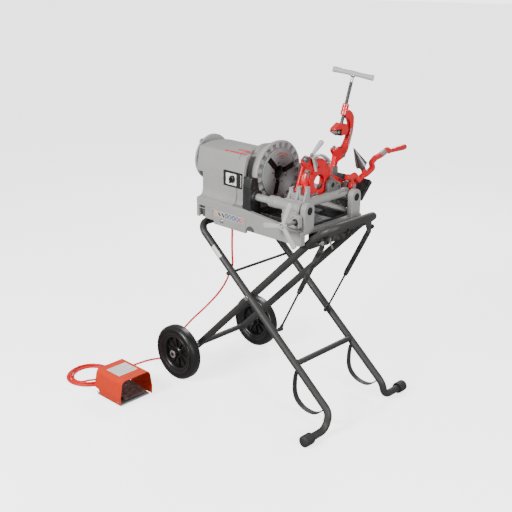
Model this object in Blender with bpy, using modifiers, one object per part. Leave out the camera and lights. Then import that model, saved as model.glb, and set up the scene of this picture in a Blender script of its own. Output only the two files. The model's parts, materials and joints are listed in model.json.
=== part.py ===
"""Pipe threading machine on a folding wheel stand, with a foot switch on a cord.

Frame while modelling: +X along the spindle towards the carriage end, +Y away from the operator,
+Z up, floor at z = 0. The empty machine_frame shifts the whole object so that the origin is the
bottom centre of its box.
"""

import math

import bmesh
import bpy
from mathutils import Matrix, Vector

# Whole object
ORIGIN_X = -0.0759
ORIGIN_Y = -0.05717
GAP = 0.0005
X_AXIS = Vector((1, 0, 0))
Y_AXIS = Vector((0, 1, 0))
Z_AXIS = Vector((0, 0, 1))

# Stand
TUBE_R = 0.016
WHEEL_R = 0.127
TYRE_WIDTH = 0.057
RIM_R = 0.0855
WHEEL_NEAR_Y = -0.284
WHEEL_FAR_Y = 0.229
HUB_HALF = 0.034
AXLE_X = -0.4007
AXLE_R = 0.0085
FOLD_P = (-0.0598, 0.4653)
HINGE_H = (0.250, 0.787)
WHEEL_TUBE_Y = 0.150
LEG_TUBE_Y = 0.1835
BEND_B = (0.2563, 0.7934)
HANDLE_END = (0.339, 0.853)
LEG_TOP = (-0.370, 0.7255)
LEG_LOW = (0.3985, 0.0915)
FOOT_X = 0.4007
FOOT_Z = 0.0247
FOOT_OUT_Y = 0.342
LEG_BAR = (0.2142, 0.2476)
LEG_STRUT = (-0.1690, 0.5490)
GAS_TOP = (0.310, 0.792)
GAS_FOOT = (0.0956, 0.357)
GAS_Y = 0.153
GAS_BODY_LENGTH = 0.273

# Machine
BASE_LEFT = -0.3696
BASE_RIGHT = 0.2266
BASE_HALF = 0.1975
BASE_BOTTOM = 0.7633
WALL = 0.008
DECK_Z = 0.847
RIM_Z = 0.8226
SPINDLE_Z = 0.977
HOUSING_LEFT = -0.400
HOUSING_RIGHT = -0.150
LIP_RIGHT = -0.118
FLANGE_R = 0.119
HAMMER_R = 0.1385
HAMMER_FRONT = -0.0714
CHUCK_FACE = -0.0667
CHUCK_R = 0.1045
BORE_R = 0.030
REAR_DISC_X = -0.471
REAR_DISC_R = 0.1035
RAIL_Y = 0.1506
RAIL_Z = 0.9025
RAIL_R = 0.0155
RAIL_END = 0.2308
POST_LEFT = 0.2045

# Carriage and tools
SLEEVE_R = 0.0250
SLEEVE_LEFT = 0.023
SLEEVE_RIGHT = 0.1955
CROSS_X = 0.1730
CROSS_Z = 0.9150
CROSS_R = 0.0200
TOOL_Y = 0.168
TOOL_Z = 0.940
TOOL_R = 0.0095
FEED_X = 0.2027
FEED_Z = 0.863
FEED_HUB_Y = -0.277
CUTTER_X = 0.085
DIE_HEAD_LEFT = 0.112
DIE_HEAD_RIGHT = 0.151
DIE_HEAD_R = 0.096
REAMER_X = 0.190

# Foot switch and cord
SWITCH_BACK = -0.535
SWITCH_FRONT = -0.357
SWITCH_Y = -0.5685
SWITCH_TOP = 0.121
CORD_R = 0.004
COIL_X = -0.690
COIL_Y = -0.565
COIL_R = 0.096

PARTS = None
CUTTERS = None
ROOT = None


def start_scene():
    global PARTS, CUTTERS, ROOT
    for obj in list(bpy.data.objects):
        bpy.data.objects.remove(obj)
    PARTS = bpy.data.collections.new("pipe_threading_machine")
    CUTTERS = bpy.data.collections.new("cutters")
    bpy.context.scene.collection.children.link(PARTS)
    bpy.context.scene.collection.children.link(CUTTERS)
    ROOT = bpy.data.objects.new("machine_frame", None)
    ROOT.location = (-ORIGIN_X, -ORIGIN_Y, 0)
    PARTS.objects.link(ROOT)


def material(name, colour, roughness, metallic=0.0):
    mat = bpy.data.materials.new(name)
    mat.use_nodes = True
    shader = mat.node_tree.nodes["Principled BSDF"]
    shader.inputs["Base Color"].default_value = (*colour, 1.0)
    shader.inputs["Roughness"].default_value = roughness
    shader.inputs["Metallic"].default_value = metallic
    mat.diffuse_color = (*colour, 1.0)
    return mat


def grey_paint(name):
    return material(name, (0.56, 0.56, 0.55), 0.45)


def black_paint(name):
    return material(name, (0.035, 0.034, 0.032), 0.4)


def red_paint(name):
    return material(name, (0.72, 0.02, 0.02), 0.35)


def steel(name):
    return material(name, (0.62, 0.62, 0.62), 0.3, 1.0)


def black_rubber(name):
    return material(name, (0.025, 0.025, 0.025), 0.75)


# Shape helpers. Each helper makes one closed mesh in the machine frame, under the root empty.


def link_helper(name, data):
    """A new object among the cutters, hidden from renders."""
    obj = bpy.data.objects.new(name, data)
    CUTTERS.objects.link(obj)
    obj.parent = ROOT
    obj.hide_render = True
    obj.display_type = "WIRE"
    return obj


def from_bmesh(name, bm):
    mesh = bpy.data.meshes.new(name)
    bmesh.ops.recalc_face_normals(bm, faces=bm.faces)
    bm.to_mesh(mesh)
    bm.free()
    return link_helper(name, mesh)


def block(low, high, bevel=0.0, name="block"):
    bm = bmesh.new()
    bmesh.ops.create_cube(bm, size=1.0)
    size = Vector(high) - Vector(low)
    centre = (Vector(high) + Vector(low)) / 2
    bmesh.ops.scale(bm, vec=size, verts=bm.verts)
    bmesh.ops.translate(bm, vec=centre, verts=bm.verts)
    obj = from_bmesh(name, bm)
    if bevel:
        add_bevel(obj, bevel)
    return obj


def bar(start, end, radius, sides=16, end_radius=None, name="bar"):
    """A cylinder or cone between two points."""
    start, end = Vector(start), Vector(end)
    run = end - start
    turn = Z_AXIS.rotation_difference(run.normalized()).to_matrix().to_4x4()
    bm = bmesh.new()
    bmesh.ops.create_cone(
        bm,
        cap_ends=True,
        segments=sides,
        radius1=radius,
        radius2=radius if end_radius is None else end_radius,
        depth=run.length,
        matrix=Matrix.Translation((start + end) / 2) @ turn,
    )
    return from_bmesh(name, bm)


def curve_to_mesh(curve_obj, name):
    """Replaces a curve object with a mesh object of its evaluated, welded shape."""
    graph = bpy.context.evaluated_depsgraph_get()
    mesh = bpy.data.meshes.new_from_object(curve_obj.evaluated_get(graph))
    bm = bmesh.new()
    bm.from_mesh(mesh)
    bmesh.ops.remove_doubles(bm, verts=bm.verts, dist=0.00001)
    bmesh.ops.dissolve_degenerate(bm, edges=bm.edges, dist=0.00001)
    bmesh.ops.recalc_face_normals(bm, faces=bm.faces)
    bm.to_mesh(mesh)
    bm.free()
    obj = link_helper(name, mesh)
    obj.matrix_basis = curve_obj.matrix_basis
    bpy.data.objects.remove(curve_obj)
    return obj


TURN = {
    "x": Matrix(((0, 0, 1, 0), (1, 0, 0, 0), (0, 1, 0, 0), (0, 0, 0, 1))),
    "y": Matrix(((1, 0, 0, 0), (0, 0, -1, 0), (0, 1, 0, 0), (0, 0, 0, 1))),
    "z": Matrix.Identity(4),
}


def prism(outline, low, high, axis, name="prism"):
    """A flat outline pushed along an axis: outline in (y, z) for x, (x, z) for y, (x, y) for z."""
    curve = bpy.data.curves.new(name, "CURVE")
    curve.dimensions = "2D"
    curve.fill_mode = "BOTH"
    curve.extrude = (high - low) / 2
    spline = curve.splines.new("POLY")
    spline.points.add(len(outline) - 1)
    for point, place in zip(spline.points, outline):
        point.co = (place[0], place[1], 0, 1)
    spline.use_cyclic_u = True
    obj = link_helper(name, curve)
    bpy.context.view_layer.update()
    obj = curve_to_mesh(obj, name)
    middle = (high + low) / 2
    sign = -1 if axis == "y" else 1
    obj.data.transform(TURN[axis] @ Matrix.Translation((0, 0, sign * middle)))
    return obj


def arc(centre, radius, first, last, steps):
    """Points round an arc, angles in degrees."""
    turns = [math.radians(first + (last - first) * i / steps) for i in range(steps + 1)]
    return [(centre[0] + radius * math.cos(t), centre[1] + radius * math.sin(t)) for t in turns]


def turned(profile, place, axis, steps=24, name="turned"):
    """A profile of (radius, height) points screwed about an axis through place."""
    bm = bmesh.new()
    points = [bm.verts.new((radius, 0, height)) for radius, height in profile]
    for first, second in zip(points, points[1:]):
        bm.edges.new((first, second))
    if profile[0][0] > 0.0001 and profile[-1][0] > 0.0001:
        bm.edges.new((points[-1], points[0]))
    mesh = bpy.data.meshes.new(name)
    bm.to_mesh(mesh)
    bm.free()
    obj = link_helper(name, mesh)
    obj.matrix_basis = Matrix.Translation(place) @ TURN[axis]
    screw = obj.modifiers.new("turn", "SCREW")
    screw.steps = steps
    screw.render_steps = steps
    screw.use_merge_vertices = True
    screw.merge_threshold = 0.00005
    screw.use_smooth_shade = True
    return obj


def disc(place, axis, radius, thickness, sides=24, bore=0.0, name="disc"):
    """A round plate centred on place, with an optional bore."""
    half = thickness / 2
    if bore:
        profile = [(bore, half), (radius, half), (radius, -half), (bore, -half)]
    else:
        profile = [(0, half), (radius, half), (radius, -half), (0, -half)]
    return turned(profile, place, axis, sides, name)


def fillet(points, radius, steps=5):
    """A path through straight runs whose corners are rounded."""
    points = [Vector(p) for p in points]
    path = [points[0]]
    for before, corner, after in zip(points, points[1:], points[2:]):
        inward = (before - corner).normalized()
        outward = (after - corner).normalized()
        half = inward.angle(outward) / 2
        reach = min(radius / math.tan(half), (before - corner).length * 0.48)
        reach = min(reach, (after - corner).length * 0.48)
        real = reach * math.tan(half)
        centre = corner + (inward + outward).normalized() * (real / math.sin(half))
        first = corner + inward * reach - centre
        last = corner + outward * reach - centre
        for i in range(steps + 1):
            turn = first.normalized().slerp(last.normalized(), i / steps)
            path.append(centre + turn * first.length)
    path.append(points[-1])
    return path


def tube(points, radius, resolution=3, name="tube"):
    """A round tube with closed ends along the points, as a mesh."""
    curve = bpy.data.curves.new(name, "CURVE")
    curve.dimensions = "3D"
    curve.bevel_depth = radius
    curve.bevel_resolution = resolution
    curve.use_fill_caps = True
    spline = curve.splines.new("POLY")
    spline.points.add(len(points) - 1)
    for point, place in zip(spline.points, points):
        point.co = (*place, 1)
    obj = link_helper(name, curve)
    bpy.context.view_layer.update()
    return curve_to_mesh(obj, name)


def add_bevel(obj, width, segments=1):
    bevel = obj.modifiers.new("edges", "BEVEL")
    bevel.width = width
    bevel.segments = segments
    bevel.limit_method = "ANGLE"
    bevel.angle_limit = math.radians(50)


def combine(target, operation, others):
    for other in others:
        mod = target.modifiers.new(operation.lower(), "BOOLEAN")
        mod.operation = operation
        mod.object = other
        mod.solver = "EXACT"


def apply_turn(obj):
    """Makes a turned shape's Screw permanent, so that its origin can leave the turning axis."""
    screws = [mod for mod in obj.modifiers if mod.type == "SCREW"]
    if not screws:
        return
    others = [mod for mod in obj.modifiers if mod.type != "SCREW"]
    for mod in others:
        mod.show_viewport = False
    bpy.context.view_layer.update()
    graph = bpy.context.evaluated_depsgraph_get()
    obj.data = bpy.data.meshes.new_from_object(obj.evaluated_get(graph))
    obj.modifiers.remove(screws[0])
    for mod in others:
        mod.show_viewport = True


def part(name, obj, mat, adds=(), cuts=(), pivot=None, smooth=True):
    """Turns a helper shape into a finished sub-part with its joins, cuts, material and origin."""
    combine(obj, "UNION", adds)
    combine(obj, "DIFFERENCE", cuts)
    CUTTERS.objects.unlink(obj)
    PARTS.objects.link(obj)
    obj.name = name
    obj.data.name = name
    obj.hide_render = False
    obj.display_type = "TEXTURED"
    obj.data.materials.append(mat)
    if pivot is not None:
        apply_turn(obj)
        obj.data.transform(obj.matrix_basis)
        obj.data.transform(Matrix.Translation(-Vector(pivot)))
        obj.matrix_basis = Matrix.Translation(pivot)
    if smooth and obj.type == "MESH":
        obj.data.shade_smooth()
        obj.data.set_sharp_from_angle(angle=math.radians(35))
    return obj


def at(point, y):
    """A point of the stand's side view, at a width."""
    return (point[0], y, point[1])


# Folding stand


def wheel_frame():
    y = WHEEL_TUBE_Y
    hinge = at(HINGE_H, 0)
    foot = Vector((AXLE_X, 0, WHEEL_R))
    along = (Vector(at(BEND_B, 0)) - foot).normalized()
    low = foot - along * 0.021
    half = [low + Vector((0, -y, 0)), at(BEND_B, -y), at(HANDLE_END, -y)]
    other = [at(HANDLE_END, y), at(BEND_B, y), low + Vector((0, y, 0))]
    frame = tube(fillet(half + other, 0.055), TUBE_R, 3)
    adds = [bar((AXLE_X, -y, WHEEL_R), (AXLE_X, y, WHEEL_R), 0.0125, 14)]
    adds.append(bar(at(HINGE_H, -y), at(HINGE_H, y), 0.0095, 14))
    for side in (-1, 1):
        top = Vector(at(GAS_TOP, side * 0.1335))
        ear = [(0.289, 0.815), (0.300, 0.783), (0.310, 0.779), (0.321, 0.786), (0.323, 0.838)]
        adds.append(prism(ear, side * 0.1365 - 0.003, side * 0.1365 + 0.003, "y"))
        adds.append(bar(top, top + Vector((0, side * 0.0285, 0)), 0.0048, 12))
    cuts = [bar((AXLE_X, -0.18, WHEEL_R), (AXLE_X, 0.18, WHEEL_R), AXLE_R + 0.0004, 16)]
    for side in (-1, 1):
        hole_in = at(FOLD_P, side * (y - 0.03))
        hole_out = at(FOLD_P, side * (y + 0.03))
        cuts.append(bar(hole_in, hole_out, 0.0068, 16))
    part("wheel_frame", frame, black_paint("wheel_frame_paint"), adds, cuts, pivot=hinge)


def axle():
    near_in = -WHEEL_TUBE_Y - TUBE_R - 0.001
    far_in = WHEEL_TUBE_Y + TUBE_R + 0.001
    near_hub = WHEEL_NEAR_Y + HUB_HALF + GAP
    far_hub = WHEEL_FAR_Y - HUB_HALF - GAP
    near_end = WHEEL_NEAR_Y - HUB_HALF - GAP
    far_end = WHEEL_FAR_Y + HUB_HALF + GAP
    cap = 0.0035
    levels = [
        (0.0, near_end - cap), (0.0175, near_end - cap), (0.0175, near_end), (AXLE_R, near_end),
        (AXLE_R, near_hub), (0.0125, near_hub), (0.0125, near_in), (AXLE_R, near_in),
        (AXLE_R, far_in), (0.0125, far_in), (0.0125, far_hub), (AXLE_R, far_hub),
        (AXLE_R, far_end), (0.0175, far_end), (0.0175, far_end + cap), (0.0, far_end + cap),
    ]
    profile = [(radius, -y) for radius, y in levels]
    rod = turned(profile, (AXLE_X, 0, WHEEL_R), "y", 16)
    part("axle", rod, steel("axle_steel"))


def wheel(side, middle):
    bore = AXLE_R + 0.0004
    half = TYRE_WIDTH / 2
    web = 0.005
    rim = [
        (bore, HUB_HALF), (0.0165, HUB_HALF), (0.020, web), (0.074, web), (0.076, 0.020),
        (RIM_R, 0.022), (RIM_R, -0.022), (0.076, -0.020), (0.074, -web), (0.020, -web),
        (0.0165, -HUB_HALF), (bore, -HUB_HALF),
    ]
    place = (AXLE_X, middle, WHEEL_R)
    part(f"wheel_rim_{side}", turned(rim, place, "y", 24), black_paint(f"rim_{side}_plastic"))
    inner = RIM_R + GAP
    tyre = [
        (inner, 0.021), (0.093, half - 0.003), (0.103, half), (0.116, half - 0.002),
        (0.1235, half - 0.009), (WHEEL_R, 0.010), (WHEEL_R, -0.010), (0.1235, 0.009 - half),
        (0.116, 0.002 - half), (0.103, -half), (0.093, 0.003 - half), (inner, -0.021),
    ]
    rubber = black_rubber(f"tyre_{side}_rubber")
    part(f"tyre_{side}", turned(tyre, place, "y", 32), rubber)


def leg_frame():
    y = LEG_TUBE_Y
    low_out = FOOT_OUT_Y
    near = [
        (FOOT_X, -low_out, FOOT_Z), (FOOT_X, -y - 0.022, FOOT_Z), at(LEG_LOW, -y),
        at(LEG_TOP, -y),
    ]
    far = [(x, -y_near, z) for x, y_near, z in reversed(near)]
    frame = tube(fillet(near + far, 0.055), TUBE_R, 3)
    adds = [bar(at(LEG_BAR, -y), at(LEG_BAR, y), 0.0125, 14)]
    adds.append(bar(at(LEG_STRUT, -0.2035), at(LEG_STRUT, 0.2035), 0.006, 10))
    for side in (-1, 1):
        inner = WHEEL_TUBE_Y - TUBE_R - 0.004
        adds.append(bar(at(FOLD_P, side * inner), at(FOLD_P, side * (y + 0.020)), 0.0062, 12))
        adds.append(bar(at(FOLD_P, side * (y + 0.014)), at(FOLD_P, side * (y + 0.023)), 0.0105, 6))
        stud_end = GAS_Y + 0.0105 + 0.0012
        adds.append(bar(at(GAS_FOOT, side * (y - 0.005)), at(GAS_FOOT, side * stud_end), 0.0065, 10))
        adds.append(skid(side))
    part("leg_frame", frame, black_paint("leg_frame_paint"), adds, pivot=at(FOLD_P, 0))


def skid(side):
    """The flat curved strap under a lower leg, which the folded stand slides on."""
    y = LEG_TUBE_Y
    route = [(0.2215, 0.2210), (0.2150, 0.1980), (0.2115, 0.1597), (0.2145, 0.1166), (0.2319, 0.0853),
             (0.2656, 0.0640), (0.3099, 0.0585), (0.3420, 0.0690), (0.3720, 0.0960)]
    path = smooth_route([(x, 0, z) for x, z in route], 17)
    outer = []
    inner = []
    for before, here, after in zip(path[:1] + path, path, path[1:] + path[-1:]):
        run = (after - before).normalized()
        side_way = Vector((-run.z, 0, run.x)) * 0.0023
        outer.append((here.x + side_way.x, here.z + side_way.z))
        inner.append((here.x - side_way.x, here.z - side_way.z))
    outline = outer + list(reversed(inner))
    return prism(outline, side * y - 0.010, side * y + 0.010, "y")


def foot_cap(side, name):
    end = side * FOOT_OUT_Y
    profile = [
        (0, 0.006), (0.018, 0.006), (0.0245, 0.000), (0.0245, -0.044), (TUBE_R + GAP, -0.044),
        (TUBE_R + GAP, GAP), (0, GAP),
    ]
    flip = -1 if side > 0 else 1
    profile = [(radius, height * flip) for radius, height in profile]
    if flip < 0:
        profile = list(reversed(profile))
    cap = turned(profile, (FOOT_X, end, FOOT_Z), "y", 20)
    part(name, cap, black_rubber(name + "_rubber"))


def gas_spring(side, label):
    y = side * GAS_Y
    top = Vector(at(GAS_TOP, y))
    foot = Vector(at(GAS_FOOT, y))
    along = (foot - top).normalized()
    eye = bar(top - Y_AXIS * 0.0065, top + Y_AXIS * 0.0065, 0.0105, 14)
    body = bar(top + along * 0.007, top + along * GAS_BODY_LENGTH, 0.0108, 14)
    bore_start = top + along * 0.040
    bore_end = top + along * (GAS_BODY_LENGTH + 0.01)
    cuts = [bar(bore_start, bore_end, 0.0066, 12)]
    cuts.append(bar(top - Y_AXIS * 0.02, top + Y_AXIS * 0.02, 0.0058, 14))
    paint = black_paint(f"gas_cylinder_{label}_paint")
    part(f"gas_cylinder_{label}", body, paint, [eye], cuts, pivot=top)
    rod = bar(foot - along * 0.008, top + along * (GAS_BODY_LENGTH - 0.030), 0.0042, 10)
    piston_start = top + along * (GAS_BODY_LENGTH - 0.038)
    piston = bar(piston_start, piston_start + along * 0.010, 0.0060, 12)
    socket = bar(foot - Y_AXIS * 0.0105, foot + Y_AXIS * 0.0105, 0.0095, 12)
    steel_rod = steel(f"gas_rod_{label}_steel")
    part(f"gas_rod_{label}", rod, steel_rod, [piston, socket], pivot=foot)


# Machine base and drive


def base_casting():
    bottom, left, right, half = BASE_BOTTOM, BASE_LEFT, BASE_RIGHT, BASE_HALF
    side = [
        (left, bottom), (left, DECK_Z - 0.006), (left + 0.010, DECK_Z + 0.003),
        (-0.0890, DECK_Z + 0.0035), (right, RIM_Z), (right, bottom),
    ]
    body = prism(side, -half, half, "y")
    adds = []
    panel = block((-0.2595, -half - 0.003, 0.7515), (-0.070, -half + 0.010, 0.815))
    adds.append(panel)
    for y in (-RAIL_Y, RAIL_Y):
        crown = [(y - 0.029, RIM_Z - 0.012), (y + 0.029, RIM_Z - 0.012)]
        crown += arc((y, RAIL_Z + 0.0045), 0.029, 0, 180, 10)
        adds.append(prism(crown, POST_LEFT, RAIL_END, "x"))
    inner = [
        (left + WALL, bottom - 0.01), (left + WALL, DECK_Z - WALL), (-0.1420, DECK_Z - WALL),
        (-0.1180, 0.8050), (-0.0500, 0.8050), (-0.0500, DECK_Z - WALL - 0.008),
        (right - WALL, RIM_Z - WALL), (right - WALL, bottom - 0.01),
    ]
    cuts = [prism(inner, -half + WALL, half - WALL, "y")]
    cuts.append(block((-0.0576, -half + 0.020, 0.797), (right - 0.021, half - 0.020, 0.90)))
    cuts.append(block((-0.1055, -half + 0.0107, 0.8200), (-0.0570, half - 0.0107, 0.90)))
    cuts.append(block((-0.352, -half - 0.01, 0.75), (-0.264, -half + 0.020, 0.818)))
    cuts.append(bar((-0.045, -0.30, bottom), (-0.045, -0.18, bottom), 0.024, 16))
    cuts.append(block((right - 0.02, -0.170, 0.75), (right + 0.01, 0.170, 0.8065)))
    cuts.append(block((HOUSING_LEFT + 0.06, -0.04, 0.80), (HOUSING_RIGHT - 0.03, 0.13, 0.90)))
    for y in (-RAIL_Y, RAIL_Y):
        cuts.append(bar((POST_LEFT - 0.02, y, RAIL_Z), (RAIL_END + 0.02, y, RAIL_Z), RAIL_R + 0.0006, 20))
    part("base_casting", body, grey_paint("base_paint"), adds, cuts)


def housing_outline(grow):
    """The drive housing seen along the spindle; grow is negative for the inside."""
    flare = DECK_Z + 0.004
    return [
        (-0.176 - grow, flare), (-0.1665 - grow, flare + 0.018), (-0.1655 - grow, 0.98),
        (-0.150 - grow, 1.055 + grow), (-0.138, 1.064 + grow), (-0.075, 1.0735 + grow),
        (0.0, 1.069 + grow), (0.060, 1.054 + grow), (0.105 + grow * 0.7, 1.028 + grow * 0.7),
        (0.135 + grow, 0.985), (0.146 + grow, 0.93), (0.148 + grow, flare),
    ]


def drive_housing():
    shell = prism(housing_outline(0.0), HOUSING_LEFT, HOUSING_RIGHT, "x")
    lip = [
        (-0.176, DECK_Z + 0.004), (-0.1665, DECK_Z + 0.022), (-0.1655, 0.98), (-0.150, 1.055),
        (-0.138, 1.064), (-0.120, 1.0668), (-0.124, 1.054), (-0.137, 1.044), (-0.1530, 0.975),
        (-0.1535, DECK_Z + 0.004),
    ]
    adds = [prism(lip, HOUSING_RIGHT - 0.004, LIP_RIGHT, "x")]
    neck = [(0.046, -0.108), (FLANGE_R, -0.108), (0.111, HOUSING_RIGHT - 0.003),
            (0.111, HOUSING_RIGHT - 0.011), (0.046, HOUSING_RIGHT - 0.011)]
    adds.append(turned(neck, (0, 0, SPINDLE_Z), "x", 40))
    adds.append(disc((HOUSING_LEFT - 0.0205, 0, SPINDLE_Z), "x", 0.062, 0.051, 28, 0.046))
    inner = prism(
        [(y, z if z > 0.9 else z - 0.02) for y, z in housing_outline(-0.008)],
        HOUSING_LEFT + 0.010, HOUSING_RIGHT - 0.014, "x",
    )
    cuts = [inner]
    cuts.append(bar((-0.50, 0, SPINDLE_Z), (0, 0, SPINDLE_Z), 0.0450, 30))
    cuts.append(block((-0.2355, -0.20, 0.9220), (-0.1245, -0.1600, 0.9890)))
    cuts.append(block((HOUSING_LEFT - 0.02, -0.19, 0.83), (-0.362, -0.120, 0.957)))
    part("drive_housing", shell, grey_paint("housing_paint"), adds, cuts)


def chip_pan():
    low, high = -0.0560, BASE_RIGHT - 0.024
    y = 0.128
    outer = block((low, -y, 0.802), (high, y, 0.832))
    inner = block((low + 0.003, -y + 0.003, 0.805), (high - 0.003, y - 0.003, 0.85))
    ledge_y = BASE_HALF - 0.021
    ledge = block((low + 0.0008, -ledge_y, 0.8165), (high - 0.0008, ledge_y, 0.8195))
    part("chip_pan", outer, black_paint("chip_pan_paint"), [ledge], [inner])


def rails():
    for name, y in (("rail_front", -RAIL_Y), ("rail_rear", RAIL_Y)):
        rail = bar((-0.098, y, RAIL_Z), (RAIL_END - 0.003, y, RAIL_Z), RAIL_R, 20)
        part(name, rail, steel(name + "_steel"), pivot=(RAIL_END, y, RAIL_Z))


def rail_support():
    """The black casting that holds the left ends of both rails in front of the housing."""
    left, right = -0.1030, -0.0590
    low = 0.8205
    front = [(-0.1862, low), (-0.1862, 0.945), (-0.178, 0.988), (-0.120, 0.974), (-0.120, low)]
    body = prism(front, left, right, "x")
    rear = [(-y, z) for y, z in front]
    adds = [prism(rear, left, right, "x")]
    adds.append(block((left + 0.001, -0.150, low), (right - 0.001, 0.150, 0.8310)))
    cuts = [bar((left - 0.01, 0, SPINDLE_Z), (right + 0.01, 0, SPINDLE_Z), HAMMER_R + 0.0025, 48)]
    for y in (-RAIL_Y, RAIL_Y):
        cuts.append(bar((left + 0.002, y, RAIL_Z), (right + 0.02, y, RAIL_Z), RAIL_R + 0.0006, 20))
    part("rail_support", body, black_paint("rail_support_paint"), adds, cuts)


def rear_tray():
    outline = [(0.2015, 0.845), (0.2015, 0.872), (0.270, 0.952), (0.2735, 0.949), (0.2055, 0.869),
               (0.2055, 0.845)]
    sheet = prism(outline, 0.030, 0.205, "x")
    adds = []
    for x in (0.030, 0.202):
        cheek = [(0.2030, 0.8715), (0.268, 0.950), (0.2735, 0.949), (0.290, 0.936), (0.225, 0.8665)]
        adds.append(prism(cheek, x, x + 0.003, "x"))
    lip = block((0.032, BASE_HALF + GAP, 0.828), (0.203, 0.2045, 0.850))
    adds.append(lip)
    part("rear_tray", sheet, black_paint("rear_tray_plastic"), adds)


def support_cradle():
    """The black saddle under the motor end, which rests on the leg frame's top bar."""
    x, z = LEG_TOP
    outline = [(x - 0.000, z + TUBE_R + 0.0012), (x + 0.030, z + TUBE_R + 0.0012),
               (x + 0.034, z + 0.004), (x + 0.040, z + 0.004), (x + 0.040, BASE_BOTTOM - GAP),
               (x + 0.0004, BASE_BOTTOM - GAP)]
    saddle = prism(outline, -0.120, 0.120, "y")
    outline_top = block((x + 0.012, -0.10, BASE_BOTTOM - 0.004), (x + 0.038, 0.10, 0.800))
    part("support_cradle", saddle, black_paint("cradle_paint"), [outline_top])


def mounting_plate():
    """The bracket under the carriage end: a plate and two ears round the stand's hinge rod."""
    x, z = HINGE_H
    plate = block((0.2072, -0.128, 0.7340), (0.2182, 0.1030, 0.8145))
    adds = []
    for y in (-0.118, 0.060):
        ear = [(0.212, z - 0.030), (0.212, z + 0.0185), (x, z + 0.0185)]
        ear += arc((x, z), 0.0185, 80, -90, 8) + [(x - 0.005, z - 0.0185)]
        adds.append(prism(ear, y, y + 0.008, "y"))
    cuts = [bar((x, -0.2, z), (x, 0.2, z), 0.0106, 18)]
    for y in (-0.096, -0.031):
        cuts.append(bar((0.19, y, 0.762), (0.24, y, 0.762), 0.0058, 12))
    part("mounting_plate", plate, black_paint("mounting_plate_paint"), adds, cuts)


def clamp_bolt(y, label):
    z = 0.762
    shank = bar((0.198, y, z), (0.2440, y, z), 0.0050, 12)
    head = bar((0.2188, y, z), (0.2250, y, z), 0.0090, 12)
    handle = bar((0.2410, y - 0.003, z + 0.002), (0.2440, y + 0.018, z - 0.044), 0.0042, 10)
    part(f"clamp_bolt_{label}", shank, steel(f"clamp_{label}_steel"), [head, handle],
         pivot=(0.2, y, z))


def motor():
    can = bar((-0.375, -0.092, 0.915), (-0.215, -0.092, 0.915), 0.050, 24)
    boss = bar((-0.216, -0.092, 0.915), (-0.205, -0.092, 0.915), 0.018, 16)
    foot = block((-0.350, -0.122, 0.8510), (-0.240, -0.062, 0.880))
    part("motor", can, steel("motor_steel"), [boss, foot])


def gears():
    place = Vector((-0.190, 0, SPINDLE_Z))
    teeth = 56
    wheel_r = 0.0680
    outline = []
    for i in range(teeth):
        for step, radius in ((0.0, wheel_r - 0.002), (0.25, wheel_r + 0.0012),
                             (0.5, wheel_r + 0.0012), (0.75, wheel_r - 0.002)):
            t = 2 * math.pi * (i + step) / teeth
            outline.append((radius * math.cos(t), SPINDLE_Z + radius * math.sin(t)))
    drive = prism(outline, place.x - 0.010, place.x + 0.010, "x")
    bore = bar((-0.3, 0, SPINDLE_Z), (0, 0, SPINDLE_Z), 0.0418, 28)
    part("drive_gear", drive, steel("drive_gear_steel"), [], [bore], pivot=place)
    y, z = -0.092, 0.915
    small_r = math.hypot(y, z - SPINDLE_Z) - wheel_r - 0.0020
    pinion = bar((-0.203, y, z), (-0.178, y, z), small_r, 18)
    part("motor_pinion", pinion, steel("pinion_steel"), pivot=(-0.19, y, z))


def spindle():
    profile = [
        (BORE_R, 0.0), (0.041, 0.0), (0.041, -0.377), (BORE_R, -0.377),
    ]
    place = (HAMMER_FRONT - 0.0102, 0, SPINDLE_Z)
    tube_obj = turned(profile, place, "x", 28)
    part("spindle", tube_obj, steel("spindle_steel"))


def jaw_angles():
    return (90 + 45, 90 - 75, 255)


def chuck():
    front, back = CHUCK_FACE, HAMMER_FRONT - 0.0095
    place = ((front + back) / 2, 0, SPINDLE_Z)
    body = disc(place, "x", CHUCK_R, front - back, 48, 0.0, name="chuck")
    cuts = []
    for angle in jaw_angles():
        t = math.radians(angle)
        out = Vector((0, math.cos(t), math.sin(t)))
        across = Vector((0, -math.sin(t), math.cos(t)))
        slot = block((front - 0.012, -0.0128, 0.0), (front + 0.01, 0.0128, 0.094))
        turn = Matrix((
            (1, 0, 0, 0), (0, across.y, out.y, 0), (0, across.z, out.z, SPINDLE_Z), (0, 0, 0, 1)))
        slot.data.transform(turn)
        slot.data.flip_normals() if turn.to_3x3().determinant() < 0 else None
        cuts.append(slot)
    cuts.append(bar((back - 0.02, 0, SPINDLE_Z), (front + 0.02, 0, SPINDLE_Z), BORE_R, 28))
    part("chuck_body", body, steel("chuck_steel"), [], cuts)
    for number, angle in enumerate(jaw_angles(), 1):
        t = math.radians(angle)
        out = Vector((0, math.cos(t), math.sin(t)))
        across = Vector((0, -math.sin(t), math.cos(t)))
        outline = [(-0.0120, 0.036), (0, 0.0295), (0.0120, 0.036), (0.0120, 0.088),
                   (-0.0120, 0.088)]
        jaw = prism(outline, front - 0.0112, front + 0.0015, "x")
        turn = Matrix((
            (1, 0, 0, 0), (0, across.y, out.y, 0), (0, across.z, out.z, 0), (0, 0, 0, 1)))
        jaw.data.transform(Matrix.Translation((0, 0, SPINDLE_Z)) @ turn)
        if turn.to_3x3().determinant() < 0:
            jaw.data.flip_normals()
        pivot = Vector((front, 0, SPINDLE_Z)) + out * 0.060
        part(f"jaw_{number}", jaw, black_paint(f"jaw_{number}_steel"), pivot=pivot)


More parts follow.
